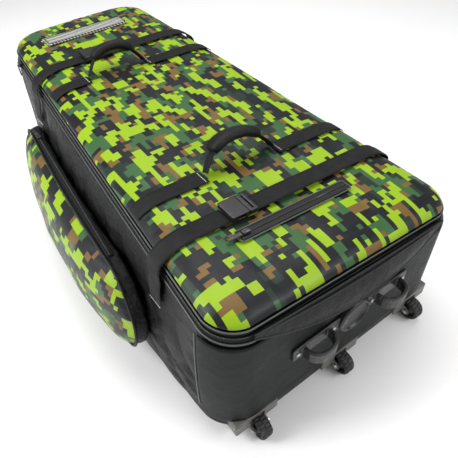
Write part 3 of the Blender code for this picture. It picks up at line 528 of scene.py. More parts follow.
def webbing(name, colour, pitch=0.0030):
    """Ribbed tape, its ribs read from the piece's own UV map."""
    made, tree, bsdf = shader(name, 0.62, Specular_IOR_Level=0.22)
    rib = use(tree, ribs, {"Pitch": pitch})
    # The tape's colour is scaled by the ribs' painted highlight and shade.
    colour_with_painted_shade = tree.add("VectorMath", {0: colour, "Scale": rib["Tone_and_painted_shade"]}, operation="SCALE").outputs[0]
    relief = tree.add("Bump", {"Strength": 0.8, "Distance": 1.0, "Height": rib["Height"]}).outputs[0]
    place = tree.add("TexCoord").outputs["Object"]
    rough = tree.step(tree.noise(place, 40.0), 0.3, 0.7, 0.52, 0.70)
    drive(tree, bsdf, Base_Color=colour_with_painted_shade, Roughness=rough, Normal=relief)
    return made


def hatched(name, ground_colour, bar_colour):
    """A dark patch with slanted pale bars woven into it, 9 mm apart."""
    made, tree, bsdf = shader(name, 0.55)
    place = tree.add("TexCoord").outputs["Object"]
    parts = tree.add("SeparateXYZ", {0: place}).outputs
    slanted = tree.maths("MULTIPLY_ADD", parts[1], 0.6, parts[0])
    wave = tree.maths("SINE", tree.maths("MULTIPLY", slanted, 2 * math.pi / 0.009))
    bars = tree.maths("GREATER_THAN", wave, -0.1)
    drive(tree, bsdf, Base_Color=tree.mix(bars, ground_colour, bar_colour))
    return made


def moulded(name, colour, scuffed, roughness, metallic=0.0, depth=0.0002, **plain):
    """Moulded or cast surface with grain, uneven gloss and pale scuffs."""
    made, tree, bsdf = shader(name, roughness, Metallic=metallic, **plain)
    place = tree.add("TexCoord").outputs["Object"]
    skin = use(tree, grain, {"Vector": place, "Depth": depth})
    rough = tree.maths("ADD", skin["Rough"], roughness)
    relief = tree.add("Bump", {"Strength": 0.5, "Distance": 1.0, "Height": skin["Height"]}).outputs[0]
    drive(tree, bsdf, Base_Color=tree.mix(skin["Scuff"], colour, scuffed), Roughness=rough, Normal=relief)
    return made


CAMO_LID = printed("printed_lid_cloth", False)
CAMO_POCKET = printed("printed_pocket_cloth", True)
SATIN = fabric("black_satin_cloth", (0.0016, 0.0018, 0.0020), 0.42, 0.0012, 1.0, bump=1.0, gloss=0.24)
PANEL = fabric("charcoal_panel_cloth", (0.0030, 0.0038, 0.0042), 0.56, 0.0022, 0.35, bump=0.8, gloss=0.20)
PADDING = fabric("grip_cloth", (0.003, 0.003, 0.0035), 0.55, 0.0015, 0.2, bump=0.6, gloss=0.3)
BINDING = fabric("binding_tape", (0.008, 0.008, 0.009), 0.55, 0.0010, 0.15, bump=0.5)
PIPE = fabric("reflective_piping", (0.085, 0.09, 0.085), 0.38, 0.0012, 0.1, bump=0.3)
PATCH = hatched("hatched_patch_cloth", (0.010, 0.011, 0.012, 1), (0.50, 0.50, 0.46, 1))
THREAD = fabric("white_thread", (0.62, 0.62, 0.58), 0.55, 0.0006, 0.0, bump=0.3)
STRAP = webbing("strap_webbing", (0.0055, 0.0055, 0.006))
TAPE = webbing("zip_tape", (0.009, 0.009, 0.010), 0.0010)
COIL = moulded("zip_coil", (0.014, 0.014, 0.015, 1), (0.10, 0.10, 0.10, 1), 0.34)
GREY = moulded("guard_plastic", (0.11, 0.105, 0.095, 1), (0.42, 0.40, 0.37, 1), 0.42)
DARK = moulded("handle_plastic", (0.018, 0.018, 0.018, 1), (0.12, 0.12, 0.12, 1), 0.36, depth=0.0003)
BUCKLE = moulded("buckle_plastic", (0.010, 0.010, 0.011, 1), (0.05, 0.05, 0.05, 1), 0.34)
RUBBER = moulded("tyre_rubber", (0.020, 0.020, 0.020, 1), (0.13, 0.125, 0.12, 1), 0.62, depth=0.0004)
HUB = moulded("hub_plastic", (0.020, 0.020, 0.021, 1), (0.10, 0.10, 0.10, 1), 0.40)
STEEL = moulded("plated_steel", (0.45, 0.45, 0.44, 1), (0.70, 0.70, 0.70, 1), 0.28, 1.0, 0.0001)
ZINC = moulded("enamelled_zinc", (0.045, 0.045, 0.047, 1), (0.22, 0.22, 0.22, 1), 0.32, 0.6, 0.0001)
BOARD = moulded("base_board", (0.030, 0.030, 0.031, 1), (0.06, 0.06, 0.06, 1), 0.60)
print("finishes", len(bpy.data.materials))

# %% [markdown]
# ## The tub
#
# The tub is a padded box of black polyester that sags and creases between its packed contents.  It is
# one sheet, lofted from the rim down the wall, round a soft edge and in to the middle of the base,
# with the creases pressed in as noise that is strongest half way up a wall.  The faces behind each
# wheel are left out, because the guards close those places.

# %% tub cloth
DRAPE_PITCH = 0.092
GUARD_X, GUARD_HALF, GUARD_TOP, GUARD_Y = (-0.215, 0.0, 0.215), 0.036, 0.062, -0.485


def tub_cloth():
    """Rows: outline(u) at falling levels, P = (side(u, level) * (1 - fold), z(level)); then base rows."""
    count = 640
    rows = []
    for level in np.linspace(1.0, 0.03, 40):
        flat = outline(0.0, level, count)
        rim = rim_z(flat[:, 0], flat[:, 1])
        z = BASE_Z + (rim - BASE_Z) * level
        turn = np.arange(count) / count
        depth = 0.0085 * math.sin(math.pi * min(level * 1.02, 1.0)) ** 0.6
        fold = creases(turn * 30 + level * 4.0, np.full(count, level * 4.5), 3, wrap=30)
        small = creases(turn * 52 - level * 5.0, np.full(count, level * 15.0), 8, wrap=52)
        outwards = unit(np.column_stack([flat[:, 0], flat[:, 1] * 0.35]))
        ends = np.clip((HALF - np.abs(flat[:, 1])) / 0.05, 0, 1)[:, None]
        wander = 0.030 * value_noise(turn * 40, np.full(count, level * 3), 9, 40)
        slanted = flat[:, 1] + 0.14 * (1 - level) ** 1.4 + wander
        strength = 0.4 + 0.6 * value_noise(turn * 18, turn * 0, 4, 18)
        drape = (1 - np.abs(np.sin(np.pi * slanted / DRAPE_PITCH)) ** 0.6) * strength
        fold = fold * 0.6 + drape * 1.3
        flat = flat - outwards * ((fold * 0.95 + small * 0.45) * depth)[:, None] * ends
        rows.append(np.column_stack([flat, z]))
    for inset in (0.0045, BASE_ROUND, 0.05, 0.12, 0.18):
        flat = outline(inset, 0.0, count)
        lift = 0.0035 if inset < BASE_ROUND else 0.0
        rows.append(np.column_stack([flat, np.full(count, BASE_Z + lift)]))
    middle = rows[-1].copy()
    middle[:, 0] *= 0.05
    rows.append(middle)
    return np.stack(rows, 1)


tub = surface("tub_cloth", tub_cloth()[:, ::-1], SATIN, wrap_u=True, cap_v=False, thick=WALL)
holes = bmesh.new()
holes.from_mesh(tub.data)
lost = []
for face in holes.faces:
    spot = face.calc_center_median()
    beside = min(abs(spot.x - SHIFT[0] - place) for place in GUARD_X)
    if beside < GUARD_HALF and spot.z < GUARD_TOP and spot.y < GUARD_Y:
        lost.append(face)
bmesh.ops.delete(holes, geom=lost, context="FACES")
holes.to_mesh(tub.data)
holes.free()
settle(tub, "tub_shell", "tub")
print("tub", len(tub.data.polygons), "faces")

# %% [markdown]
# ## The lid
#
# The lid is printed cloth over a soft lining, full near its edges and slack in the middle.  It is one
# sheet from the edge inwards: each row is the outline pulled in a little further, with lid_top giving
# the height.  Long shallow swells and a dent below each strap make it look packed by hand.

# %% lid cloth


def lid_lift(x, y):
    """Swells, creases and dents of the lid in metres: noise that fades out at the edge."""
    edge = rolled(half_width(y, LID_INSET) - np.abs(x)) * rolled(HALF - LID_INSET - np.abs(y))
    swell = 0.0050 * (value_noise(x * 9 + 20, y * 6 + 20, 5) - 0.72)
    crease = 0.0022 * creases(x * 16 + 30, y * 11 + 30, 6)
    pull = sum(np.exp(-(((y - line) / 0.024) ** 2)) for line in (NEAR_STRAP_Y, FAR_STRAP_Y))
    return edge * (swell - crease - 0.0020 * pull)


def lid_cloth():
    """P(s, t) = (s * half_width(y), y, lid_top + lid_lift), with s and t closer together at the edges."""
    y = close_at_ends(260)[None, :] * (HALF - LID_INSET)
    x = close_at_ends(150)[:, None] * half_width(y, LID_INSET)
    y = np.broadcast_to(y, x.shape)
    return np.stack([x, y, lid_top(x, y) + lid_lift(x, y)], -1)


lid = surface("lid_cloth", lid_cloth(), CAMO_LID, thick=LID_THICK * 0.7)
lid.data.materials.append(SATIN)
lid.modifiers["wall"].material_offset = 1
lid.modifiers["wall"].material_offset_rim = 1
settle(lid, "lid_shell", "lid")
print("lid", len(lid.data.polygons), "faces")

# %% [markdown]
# ## Zip, bands and piping round the lid
#
# Going down from the lid's edge there is a thin pale piping, a black band, the zip's coil, a second
# black band and a second piping at the rim.  The bands are strips that lean inwards; the coil is a
# tube whose radius swells at every turn; the piping is a plain round cord.

# %% zip and piping


def same_length(lines):
    """The lines with as many points as the shortest of them."""
    shortest = min(len(line) for line in lines)
    return [resample(line, shortest) for line in lines]


def band_piece(name, corners):
    """Lines along the rim at several (inset, lift) corners, closed round the section."""
    lines = same_length([rim_line(inset, lift, 900, True) for inset, lift in corners])
    return rod(name, np.stack(lines, 1), TAPE)


lower_corners = ((0.0004, 0.0004), (0.0022, 0.0090), (0.0046, 0.0090), (0.0030, 0.0004))
upper_corners = ((0.0044, 0.0112), (0.0068, 0.0200), (0.0090, 0.0200), (0.0068, 0.0112))
lower = band_piece("zip_band_lower", lower_corners)
settle(lower, "zip_tape_lower", "tub")
upper = band_piece("zip_band_upper", upper_corners)
settle(upper, "zip_tape_upper", "lid")


def coil(path, radius, pitch):
    """A round cord whose radius goes up and down once for each turn of the coil."""
    walked = np.r_[0, np.cumsum(np.linalg.norm(np.diff(path, axis=0), axis=1))]
    swell = 1 + 0.22 * np.sin(2 * np.pi * walked / pitch)
    return sweep(path, circle(radius, 8), scale=swell)


teeth_line = resample(rim_line(0.0030, 0.0101, 1200, True), 3200)
teeth = rod("zip_coil_main", coil(teeth_line, 0.0016, 0.0040), COIL)
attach(teeth, "tub")

tub_pipe = sweep(rim_line(-0.0009, -0.0008, 700), circle(PIPING))
low_cord = surface("rim_piping", tub_pipe, PIPE, wrap_u=True, wrap_v=True)
settle(low_cord, "tub_piping", "tub")
lid_pipe = sweep(rim_line(LID_INSET - 0.0022, ZIP_BAND + 0.0012, 700), circle(PIPING))
high_cord = surface("lid_edge_piping", lid_pipe, PIPE, wrap_u=True, wrap_v=True)
settle(high_cord, "lid_piping", "lid")
print("zip and piping done")

# %% [markdown]
# ## The wheeled end
#
# A stiff charcoal panel covers the wheeled end, and a lens-shaped storm flap hangs from the lid over
# the panel's top edge to keep rain out of the zip.  The panel follows the wall a few millimetres
# outside it.  The flap bows outwards as a half sine, most in the middle, with a double piping at its
# top and a bound edge below.

# %% end panel and flap
PANEL_OUT = 0.0038
PANEL_LOW = BASE_Z + 0.034
FLAP_REACH = 0.222


def panel_grid():
    """The outline's wheeled end, at levels from the guards to the rim."""
    rows = []
    for level in np.linspace(0, 0.96, 30):
        flat = outline(-PANEL_OUT, level, 1400)
        kept = flat[flat[:, 1] < -HALF + NEAR_CORNER + 0.002]
        kept = resample(kept, 150)
        rim = rim_z(kept[:, 0], kept[:, 1])
        z = PANEL_LOW + (rim - PANEL_LOW) * level
        dent = 0.0008 * (value_noise(kept[:, 0] * 22 + 20, z * 22, 11) - 0.5)
        kept = kept + np.column_stack([np.zeros(len(kept)), dent])
        rows.append(np.column_stack([kept, z]))
    return np.stack(rows, 1)


panel = surface("end_panel_cloth", panel_grid(), PANEL, thick=0.003)
settle(panel, "end_panel", "tub")


def flap_grid():
    """s across, share down: the rim's line moved out by a half-sine bow and down by a lens-shaped drop."""
    flat = outline(0.0, 1.0, 3200)
    middle = int(np.argmin(np.abs(flat[:, 0]) + (flat[:, 1] > 0)))
    step = np.linalg.norm(flat[1] - flat[0])
    reach = int(FLAP_REACH / step)
    line = resample(flat[middle - reach : middle + reach + 1], 160)
    tangent = np.column_stack([unit(np.gradient(line, axis=0)), np.zeros(160)])
    outwards = np.cross(tangent, [0, 0, 1.0])[:, None, :2]
    s = np.linspace(-1, 1, 160)[:, None]
    share = np.linspace(0, 1, 24)[None, :]
    lens = 1 - s**2
    top = rim_z(line[:, 0], line[:, 1])[:, None] + ZIP_BAND * 0.9
    drop = 0.010 + 0.050 * lens
    bow = np.sin(np.pi / 2 * np.minimum(share * 1.4, 1.0))
    out = 0.0036 + 0.0030 * lens + 0.014 * (0.06 + 0.94 * lens) * bow
    ripple = 0.0006 * np.sin(s * 11 + share * 2.0) * np.sin(np.pi * share)
    place = line[:, None] + outwards * (out + ripple)[:, :, None]
    return np.concatenate([place, (top - drop * share)[:, :, None]], -1)


flap = surface("storm_flap_cloth", flap_grid()[:, ::-1], SATIN, thick=0.0036)
settle(flap, "storm_flap", "lid")


def flap_edge(share, out=0.0):
    """One line across the flap, from its left to its right tip."""
    grid = flap_grid()
    line = grid[:, int(round(share * 23))].copy()
    line[:, 1] -= out
    return line


bound = sweep(flap_edge(1.0, -0.0014), circle(0.0026))
hem = rod("flap_binding", bound, BINDING)
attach(hem, "lid")
for number, share in enumerate((0.0, 0.13)):
    cord_line = sweep(flap_edge(share, 0.0008), circle(0.0018))
    cord_piece = rod(f"flap_piping_{number + 1}", cord_line, BINDING)
    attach(cord_piece, "lid")


def corner_cord(side):
    """A cord up the outside of a near corner, from level 0.16 to 0.94."""
    y = -HALF + NEAR_CORNER + 0.010
    level = np.linspace(0.16, 0.94, 60)
    x = side * (half_width(y) + bulge(y, level) + 0.0012)
    z = BASE_Z + (rim_z(side * straight_half(y), y) - BASE_Z) * level
    line = np.column_stack([x, np.full(60, y), z])
    return sweep(line, circle(PIPING * 1.15), side=np.array([0, -1.0, 0]))


for side, word in ((-1, "left"), (1, "right")):
    edge_cord = rod(f"corner_piping_{word}", corner_cord(side), PIPE)
    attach(edge_cord, "tub")
print("wheeled end done")

# %% [markdown]
# ## Webbing and its threads
#
# A tape is a thin strip with rounded edges carried along a line, which passes through its under face.
# A row of stitches is a row of short low prisms.

# %% webbing helpers


def laid_tape(path, width, lie, thick=WEBBING):
    """A tape whose under face passes through path; lie is the direction across it."""
    return sweep(path, tape(width, thick), side=np.array(lie))


STITCH = 0.0042


def stitch_row(name, start, end, normal, body, thickness=0.0007):
    """Short threads in a line from start to end, each a low prism standing along normal."""
    start, end = np.array(start) + SHIFT, np.array(end) + SHIFT
    normal = unit(np.array(normal, float))
    run = unit(end - start)
    side = np.cross(normal, run) * thickness
    number = max(int(np.linalg.norm(end - start) / STITCH), 1)
    places = start + (np.arange(number)[:, None] + 0.5) * (end - start) / number
    ring = np.array([[-1, -1], [1, -1], [1, 1], [-1, 1]])
    corners = []
    for level, size in ((0.0, 1.0), (1.0, 0.6)):
        for along_run, across in ring:
            reach = run * along_run * STITCH * 0.36 * size + side * across * size
            corners.append(places + reach + normal * 0.0007 * level)
    points = np.stack(corners, 1).reshape(-1, 3)
    block = [(0, 3, 2, 1), (4, 5, 6, 7), (0, 1, 5, 4), (1, 2, 6, 5), (2, 3, 7, 6), (3, 0, 4, 7)]
    faces = [tuple(8 * k + corner for corner in face) for k in range(number) for face in block]
    mesh = bpy.data.meshes.new(name)
    mesh.from_pydata(points.tolist(), [], faces)
    mesh.materials.append(THREAD)
    row = bpy.data.objects.new(name, mesh)
    bpy.context.scene.collection.objects.link(row)
    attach(row, body)
    return row


print("webbing helpers ready")

# %% [markdown]
# ## Strap halves and their buckles
#
# Each strap half leaves its sewn foot, stands a little clear of the zip, bends over the lid's edge and
# lies on the lid up to its side-release buckle.  The webbing is made as a lower and an upper length,
# each rounded into one smooth curve: the lower from the foot where it is sewn, the upper over the edge
# of the lid where it folds.

# %% strap lines
STRAP_LAY, STAND, DROP = 0.0020, 0.010, 0.062


def strap_line(side, y, end_x):
    """(x, z) points in one plane: foot, over the rim and the lid's edge, then along the lid."""
    rim = float(rim_z(side * straight_half(y), y))
    half = float(half_width(y))
    level = 1 - DROP / (rim - BASE_Z)
    wall = half + float(bulge(y, level)) + LAY
    upper_wall = half + float(bulge(y, (1 + level) / 2)) + STAND * 0.55
    points = [
        (side * wall, rim - DROP),
        (side * upper_wall, rim - DROP * 0.5),
        (side * (half + STAND), rim - DROP * 0.1),
        (side * (half + STAND), rim + ZIP_BAND * 0.6),
        (side * (half + STAND * 0.55), rim + ZIP_BAND + LID_THICK + 0.004),
    ]
    edge = side * (float(half_width(y, LID_INSET)) - 0.002)
    share = np.arange(11) / 10
    x = edge + (end_x - edge) * share**1.6
    z = lid_top(x, y) + STRAP_LAY + 0.004 * (1 - np.minimum(np.arange(11) / 3, 1))
    return np.array([*points, *zip(x, z)])


def strap_path(side, y, end_x, split, part):
    """One length of the rounded strap line as 3-D points."""
    line = strap_line(side, y, end_x)
    line = line[: split + 1] if part == "lower" else line[split:]
    line = resample(rounded(line, 3), 40 if part == "lower" else 160)
    return np.column_stack([line[:, 0], np.full(len(line), y), line[:, 1]])


for which, y, buckle_x in (("near", NEAR_STRAP_Y, -0.112), ("far", FAR_STRAP_Y, -0.070)):
    left_end, right_end = buckle_x - 0.0188, buckle_x + 0.0376
    for side, word, end_x in ((-1, "left", left_end), (1, "right", right_end)):
        for part in ("lower", "upper"):
            path = strap_path(side, y, end_x, 3, part)
            if side > 0:
                path = path[::-1]
            grid = laid_tape(path, STRAP_WIDE, [0, -1.0, 0])
            length = rod(f"{which}_strap_{word}_{part}_cloth", grid, STRAP)
            foot = path[0] if side < 0 else path[-1]
            if part == "lower":
                start, end = foot + SHIFT, foot + SHIFT + [0, 0, 0.020]
                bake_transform(length)
            else:
                start = foot + SHIFT
                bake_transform(length)
            node = f"{which}_strap_left" if side < 0 else f"{which}_strap_right_{part}"
            if side > 0 or part == "upper":
                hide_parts(node)
print("straps done")

# %% [markdown]
# ## Carrying handles
#
# A handle is one long tape: it runs over the lid from edge to edge, sewn flat, and a second layer
# rises between its two feet as a loop.  The loop is wrapped in a padded sleeve where a hand holds it.
# The handle leans towards the hinge end, because it flops that way when the bag lies down.

# %% handle bands


def lid_path(y, start_x, end_x, lift):
    """A line over the lid at one y, following its crown."""
    x = np.linspace(start_x, end_x, 120)
    z = lid_top(x, y) + lift + np.maximum(lid_lift(x, y), 0)
    return np.column_stack([x, np.full(120, y), z])


LEAN = math.radians(25)
RISE = 0.052


def loop_frames(y, feet, start, end, count):
    """Centre and width direction of the loop for shares from start to end."""
    left, right = feet
    share = np.linspace(start, end, count)
    bow = 1 - np.abs(2 * share - 1) ** 2.6
    x = left + 0.0015 + (right - left - 0.003) * share
    base = lid_top(x, y) + LAY + 0.0003
    up = np.array([0, math.sin(LEAN), math.cos(LEAN)])
    wide = np.array([0, -math.cos(LEAN), math.sin(LEAN)])
    centre = np.column_stack([x, np.full(count, y), base]) + (RISE * bow)[:, None] * up
    return centre, wide


for which, y, feet in HANDLES:
    reach = half_width(y, LID_INSET) - 0.003
    left_path = lid_path(y, -reach, feet[0], 0.0010)
    right_path = lid_path(y, feet[1], reach, 0.0010)
    for word, path in (("left", left_path), ("right", right_path)):
        band = rod(f"{which}_band_{word}", laid_tape(path, BAND_WIDE, [0, -1.0, 0]), STRAP)
        settle(band, f"{which}_handle_band_{word}", "lid")
    centre, wide = loop_frames(y, feet, 0.02, 0.98, 140)
    loop = rod(f"{which}_loop_tape", sweep(centre, tape(LOOP_WIDE, 0.0026), side=wide), STRAP)
    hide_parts(f"{which}_handle_loop")
    foot = centre[0] + SHIFT
    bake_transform(loop)
    centre, wide = loop_frames(y, feet, 0.19, 0.81, 110)
    share = np.linspace(-1, 1, 110)
    full = (1 - np.abs(share) ** 9) ** 0.5
    angle = np.arange(28) * 2 * np.pi / 28
    round_x = np.sign(np.cos(angle)) * np.abs(np.cos(angle)) ** 0.7 * 0.0215
    round_y = np.sign(np.sin(angle)) * np.abs(np.sin(angle)) ** 0.8 * 0.0112 + 0.0040
    profile = np.stack([round_x, round_y], 1)
    sleeve = sweep(centre, profile, side=wide, scale=0.55 + 0.45 * full)
    grip = rod(f"{which}_grip_pad", sleeve, PADDING)
    settle(grip, f"{which}_handle_grip", f"{which}_handle")
print("handles done")

# %% [markdown]
# ## Bar tacks
#
# Pale rows of thread cross the webbing where it is sewn down: at both feet of each handle and at the
# sewn foot of each strap.  Each thread is a short low prism.

# %% bar tacks


def across_tape(name, x, y, width, lift, body):
    """A row of threads across a tape that lies on the lid."""
    z = float(lid_top(x, y)) + float(max(lid_lift(np.array(x), np.array(y)), 0)) + lift
    half = width / 2 - 0.002
    return stitch_row(name, (x, y - half, z), (x, y + half, z), (0, 0, 1), body)


for which, y, feet in HANDLES:
    for word, x in (("left", feet[0] - 0.006), ("right", feet[1] + 0.006)):
        across_tape(f"{which}_handle_tack_{word}", x, y, BAND_WIDE, 0.0030, "lid")
near_feet = (("near_left", -1, NEAR_STRAP_Y), ("near_right", 1, NEAR_STRAP_Y))
far_feet = (("far_right", 1, FAR_STRAP_Y), ("far_left", -1, FAR_STRAP_Y))
for word, side, y in near_feet + far_feet:
    foot_x, foot_z = strap_line(side, y, 0.0)[0]
    out, low = foot_x + side * (WEBBING + 0.0006), foot_z - 0.004
    ends = (out, y - 0.018, low), (out, y + 0.018, low)
    stitch_row(f"strap_tack_{word}", *ends, (side, 0, 0), "tub", 0.0008)
print("bar tacks done")

# %% [markdown]
# ## The side pocket
#
# The pocket is a stuffed pouch: a printed outer panel sewn to a black gusset.  Its shell starts from
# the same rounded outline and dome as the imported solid, a little smaller, and a short cloth
# simulation blows it up from inside, which gives the tight seams and soft swells of a full pocket.
# The points next to the tub stay pinned.

# %% pocket shell
POCKET_Y, POCKET_Z, POCKET_ROUND = (-0.330, 0.370), (0.052, 0.262), 0.100
GUSSET, DOME = 0.030, 0.038


def pocket_wall(y, z):
    """Outside of the tub's left wall at one point, as a positive distance from the middle."""
    level = (z - BASE_Z) / (rim_z(-straight_half(y), y) - BASE_Z)
    return half_width(y) + bulge(y, np.clip(level, 0, 1)) + LAY


def pocket_points(depth_share):
    """s along, t across: a rounded rectangle; depth = share * (gusset + dome * room^0.7)."""
    s = close_at_ends(120)[:, None]
    t = close_at_ends(44)[None, :]
    middle, half_length = sum(POCKET_Y) / 2, (POCKET_Y[1] - POCKET_Y[0]) / 2
    centre, half_height = sum(POCKET_Z) / 2, (POCKET_Z[1] - POCKET_Z[0]) / 2
    y = middle + half_length * s
    past = np.maximum(np.abs(y - middle) - (half_length - POCKET_ROUND), 0)
    drop = POCKET_ROUND - np.sqrt(np.maximum(POCKET_ROUND**2 - past**2, 0))
    z = centre + (half_height - np.minimum(drop, half_height - 0.004)) * t
    room = 1 - np.minimum(np.hypot(np.abs(s) ** 3, np.abs(t) ** 2), 1)
    swell = value_noise(y * 11 + z * 4 + 20, z * 14 + 20, 21) * 0.008 * room
    depth = depth_share * (GUSSET + DOME * room**0.7 - swell)
    x = -(pocket_wall(y, z) + depth)
    return np.stack(np.broadcast_arrays(x, y, z), -1)


outside = pocket_points(0.93)
inside = pocket_points(0.0)
ring = np.concatenate([outside, inside[:, ::-1]], 1)
pocket = rod("side_pocket_shell", ring, SATIN)
remesh = pocket.modifiers.new("even", "REMESH")
remesh.mode = "VOXEL"
remesh.voxel_size = 0.006
bpy.context.view_layer.objects.active = pocket
bpy.ops.object.modifier_apply(modifier="even")
spots = np.zeros(len(pocket.data.vertices) * 3)
pocket.data.vertices.foreach_get("co", spots)
spots = spots.reshape(-1, 3) - SHIFT
stand = -spots[:, 0] - pocket_wall(spots[:, 1], spots[:, 2])
held = pocket.vertex_groups.new(name="held")
held.add(np.flatnonzero(stand < 0.006).tolist(), 1.0, "REPLACE")
blown = pocket.modifiers.new("blown", "CLOTH")
blown.settings.vertex_group_mass = "held"
blown.settings.use_pressure = True
blown.settings.uniform_pressure_force = 4.0
blown.settings.tension_stiffness = 40.0
blown.settings.compression_stiffness = 40.0
blown.settings.effector_weights.gravity = 0.0
for step in range(1, 13):
    bpy.context.scene.frame_set(step)
bpy.ops.object.modifier_apply(modifier="blown")
bpy.context.scene.frame_set(1)
moved = np.zeros(len(pocket.data.vertices) * 3)
pocket.data.vertices.foreach_get("co", moved)
change = moved.reshape(-1, 3) - SHIFT - spots
size = np.linalg.norm(change, axis=1, keepdims=True)
change *= np.minimum(1, 0.006 / np.maximum(size, 1e-9))
pocket.data.vertices.foreach_set("co", (spots + change + SHIFT).ravel())
soften = pocket.modifiers.new("soften", "SMOOTH")
soften.iterations = 4
finer = pocket.modifiers.new("finer", "SUBSURF")
finer.levels = 1
finer.render_levels = 1
pocket.data.materials.clear()
pocket.data.materials.append(SATIN)
pocket.data.materials.append(CAMO_POCKET)
middles = np.zeros(len(pocket.data.polygons) * 3)
pocket.data.polygons.foreach_get("center", middles)
middles = middles.reshape(-1, 3) - SHIFT
outer = -middles[:, 0] - pocket_wall(middles[:, 1], middles[:, 2]) > GUSSET * 0.94
pocket.data.polygons.foreach_set("material_index", outer.astype(np.int32))
pocket.data.shade_smooth()
settle(pocket, "side_pocket", "tub")

edge_grid = pocket_points(0.96)
edge_grid[:, :, 1] = 0.020 + (edge_grid[:, :, 1] - 0.020) * 0.992
edge_grid[:, :, 2] = 0.157 + (edge_grid[:, :, 2] - 0.157) * 0.975
sides = [edge_grid[:, 0], edge_grid[-1, 1:], edge_grid[::-1, -1][1:], edge_grid[0, ::-1][1:-1]]
loop_points = np.vstack(sides)
loop_points = resample(np.vstack([loop_points, loop_points[:1]]), 500, closed=True)
seam_cord = sweep(loop_points, circle(0.0026), side=np.array([1.0, 0, 0]))
seam = surface("pocket_seam_cord", seam_cord, BINDING, wrap_u=True, wrap_v=True)
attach(seam, "tub")


def pocket_zip_ends():
    """Both ends of the straight zip on the pocket's top gusset."""
    y = np.array([POCKET_Y[0] + POCKET_ROUND + 0.012, POCKET_Y[1] - POCKET_ROUND - 0.012])
    x = -(pocket_wall(y, np.full(2, POCKET_Z[1])) + GUSSET * 0.62)
    return np.column_stack([x, y, np.full(2, POCKET_Z[1] + 0.0003)])


zip_path = resample(pocket_zip_ends(), 120)
zip_strip = rod("pocket_zip_tape", laid_tape(zip_path, 0.013, [1.0, 0, 0]), TAPE)
settle(zip_strip, "pocket_zip", "tub")
coil_path = resample(pocket_zip_ends() + [0, 0, 0.0021], 1600)
zip_teeth = rod("pocket_zip_coil", coil(coil_path, 0.0013, 0.0030), COIL)
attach(zip_teeth, "tub")
print("pocket", len(pocket.data.polygons), "faces")

# %% [markdown]
# ## The lid's own pocket and its patch
#
# A zipped slot lies across the lid near the wheeled end: a black welt with the coil along its middle
# and a thin pale line of piping round it.  Near the hinge end there is a dark patch with slanted
# pale bars and a corded border.

# %% lid pocket and patch
SLOT_Y, SLOT_X, SLOT_WIDE = -0.412, (-0.140, 0.105), 0.022
FRAME_ROUND = 0.004
welt = rod("lid_pocket_welt", laid_tape(lid_path(SLOT_Y, *SLOT_X, LAY), SLOT_WIDE, [0, -1.0, 0]), BINDING)
settle(welt, "lid_pocket_zip", "lid")
slot_line = resample(lid_path(SLOT_Y, SLOT_X[0] + 0.004, SLOT_X[1] - 0.004, LAY + 0.0022), 1000)
slot_teeth = rod("lid_pocket_coil", coil(slot_line, 0.0014, 0.0032), COIL)
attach(slot_teeth, "lid")


def framed(x_ends, y, width, lift):
    """A rounded rectangle on the lid, as a closed line."""
    low, high = y - width / 2, y + width / 2
    left, right = x_ends
    r = FRAME_ROUND
    flat = [(left + r, low), (right - r, low), (right, low + r), (right, high - r), (right - r, high)]
    flat += [(left + r, high), (left, high - r), (left, low + r), (left + r, low)]
    flat = resample(flat, 260, closed=True)
    z = lid_top(flat[:, 0], flat[:, 1]) + np.maximum(lid_lift(flat[:, 0], flat[:, 1]), 0) + lift
    return np.column_stack([flat, z])


frame_line = framed((SLOT_X[0] - 0.003, SLOT_X[1] + 0.003), SLOT_Y, SLOT_WIDE + 0.004, 0.0013)
slot_cord = surface("lid_pocket_piping", sweep(frame_line, circle(0.0012, 8)), PIPE, wrap_u=True, wrap_v=True)
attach(slot_cord, "lid")

LABEL_X, LABEL_Y, LABEL_WIDE = (-0.128, 0.098), 0.425, 0.050
label_path = lid_path(LABEL_Y, *LABEL_X, 0.0008)
patch = rod("plain_patch", laid_tape(label_path, LABEL_WIDE, [0, 1.0, 0], 0.0022), PATCH)
settle(patch, "label_patch", "lid")
patch_line = framed((LABEL_X[0] + 0.004, LABEL_X[1] - 0.004), LABEL_Y, LABEL_WIDE - 0.008, 0.0031)
patch_edge = surface("patch_border", sweep(patch_line, circle(0.0009, 6)), BINDING, wrap_u=True, wrap_v=True)
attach(patch_edge, "lid")
print("lid pocket and patch done")

# %% [markdown]
# ## The hinge end
#
# At the narrow end the lid is sewn to the tub by a folded strip of black cloth, where the zip stops.

# %% hinge strip


def hinge_line(inset, lift):
    """The part of the rim's line beyond the zip's ends, from right to left round the hinge end."""
    flat = np.roll(outline(inset, 1.0, 900), 450, axis=0)
    flat = flat[flat[:, 1] > ZIP_END_Y + 0.004]
    return np.column_stack([flat, rim_z(flat[:, 0], flat[:, 1]) + lift])


outer_corners = ((0.0004, 0.0006), (0.0020, 0.0100), (0.0066, 0.0200))
hinge_corners = (*outer_corners, (0.0095, 0.0200), (0.0050, 0.0100), (0.0034, 0.0006))
hinge_lines = same_length([hinge_line(inset, lift) for inset, lift in hinge_corners])
hinge_cloth = rod("hinge_cloth", np.stack(hinge_lines, 1), SATIN)
settle(hinge_cloth, "hinge_strip", "lid")
print("hinge end done")

# %% [markdown]
# ## Wheels
#
# Each tyre is a solid rubber ring.  Its section is carried round the axle, and the radius drops in
# narrow grooves that step from one side to the other, which leaves two staggered rows of blocks.

# %% tyres


TYRE_RADIUS, TYRE_HALF_WIDE, TYRE_BORE = 0.0259, 0.0128, 0.0172


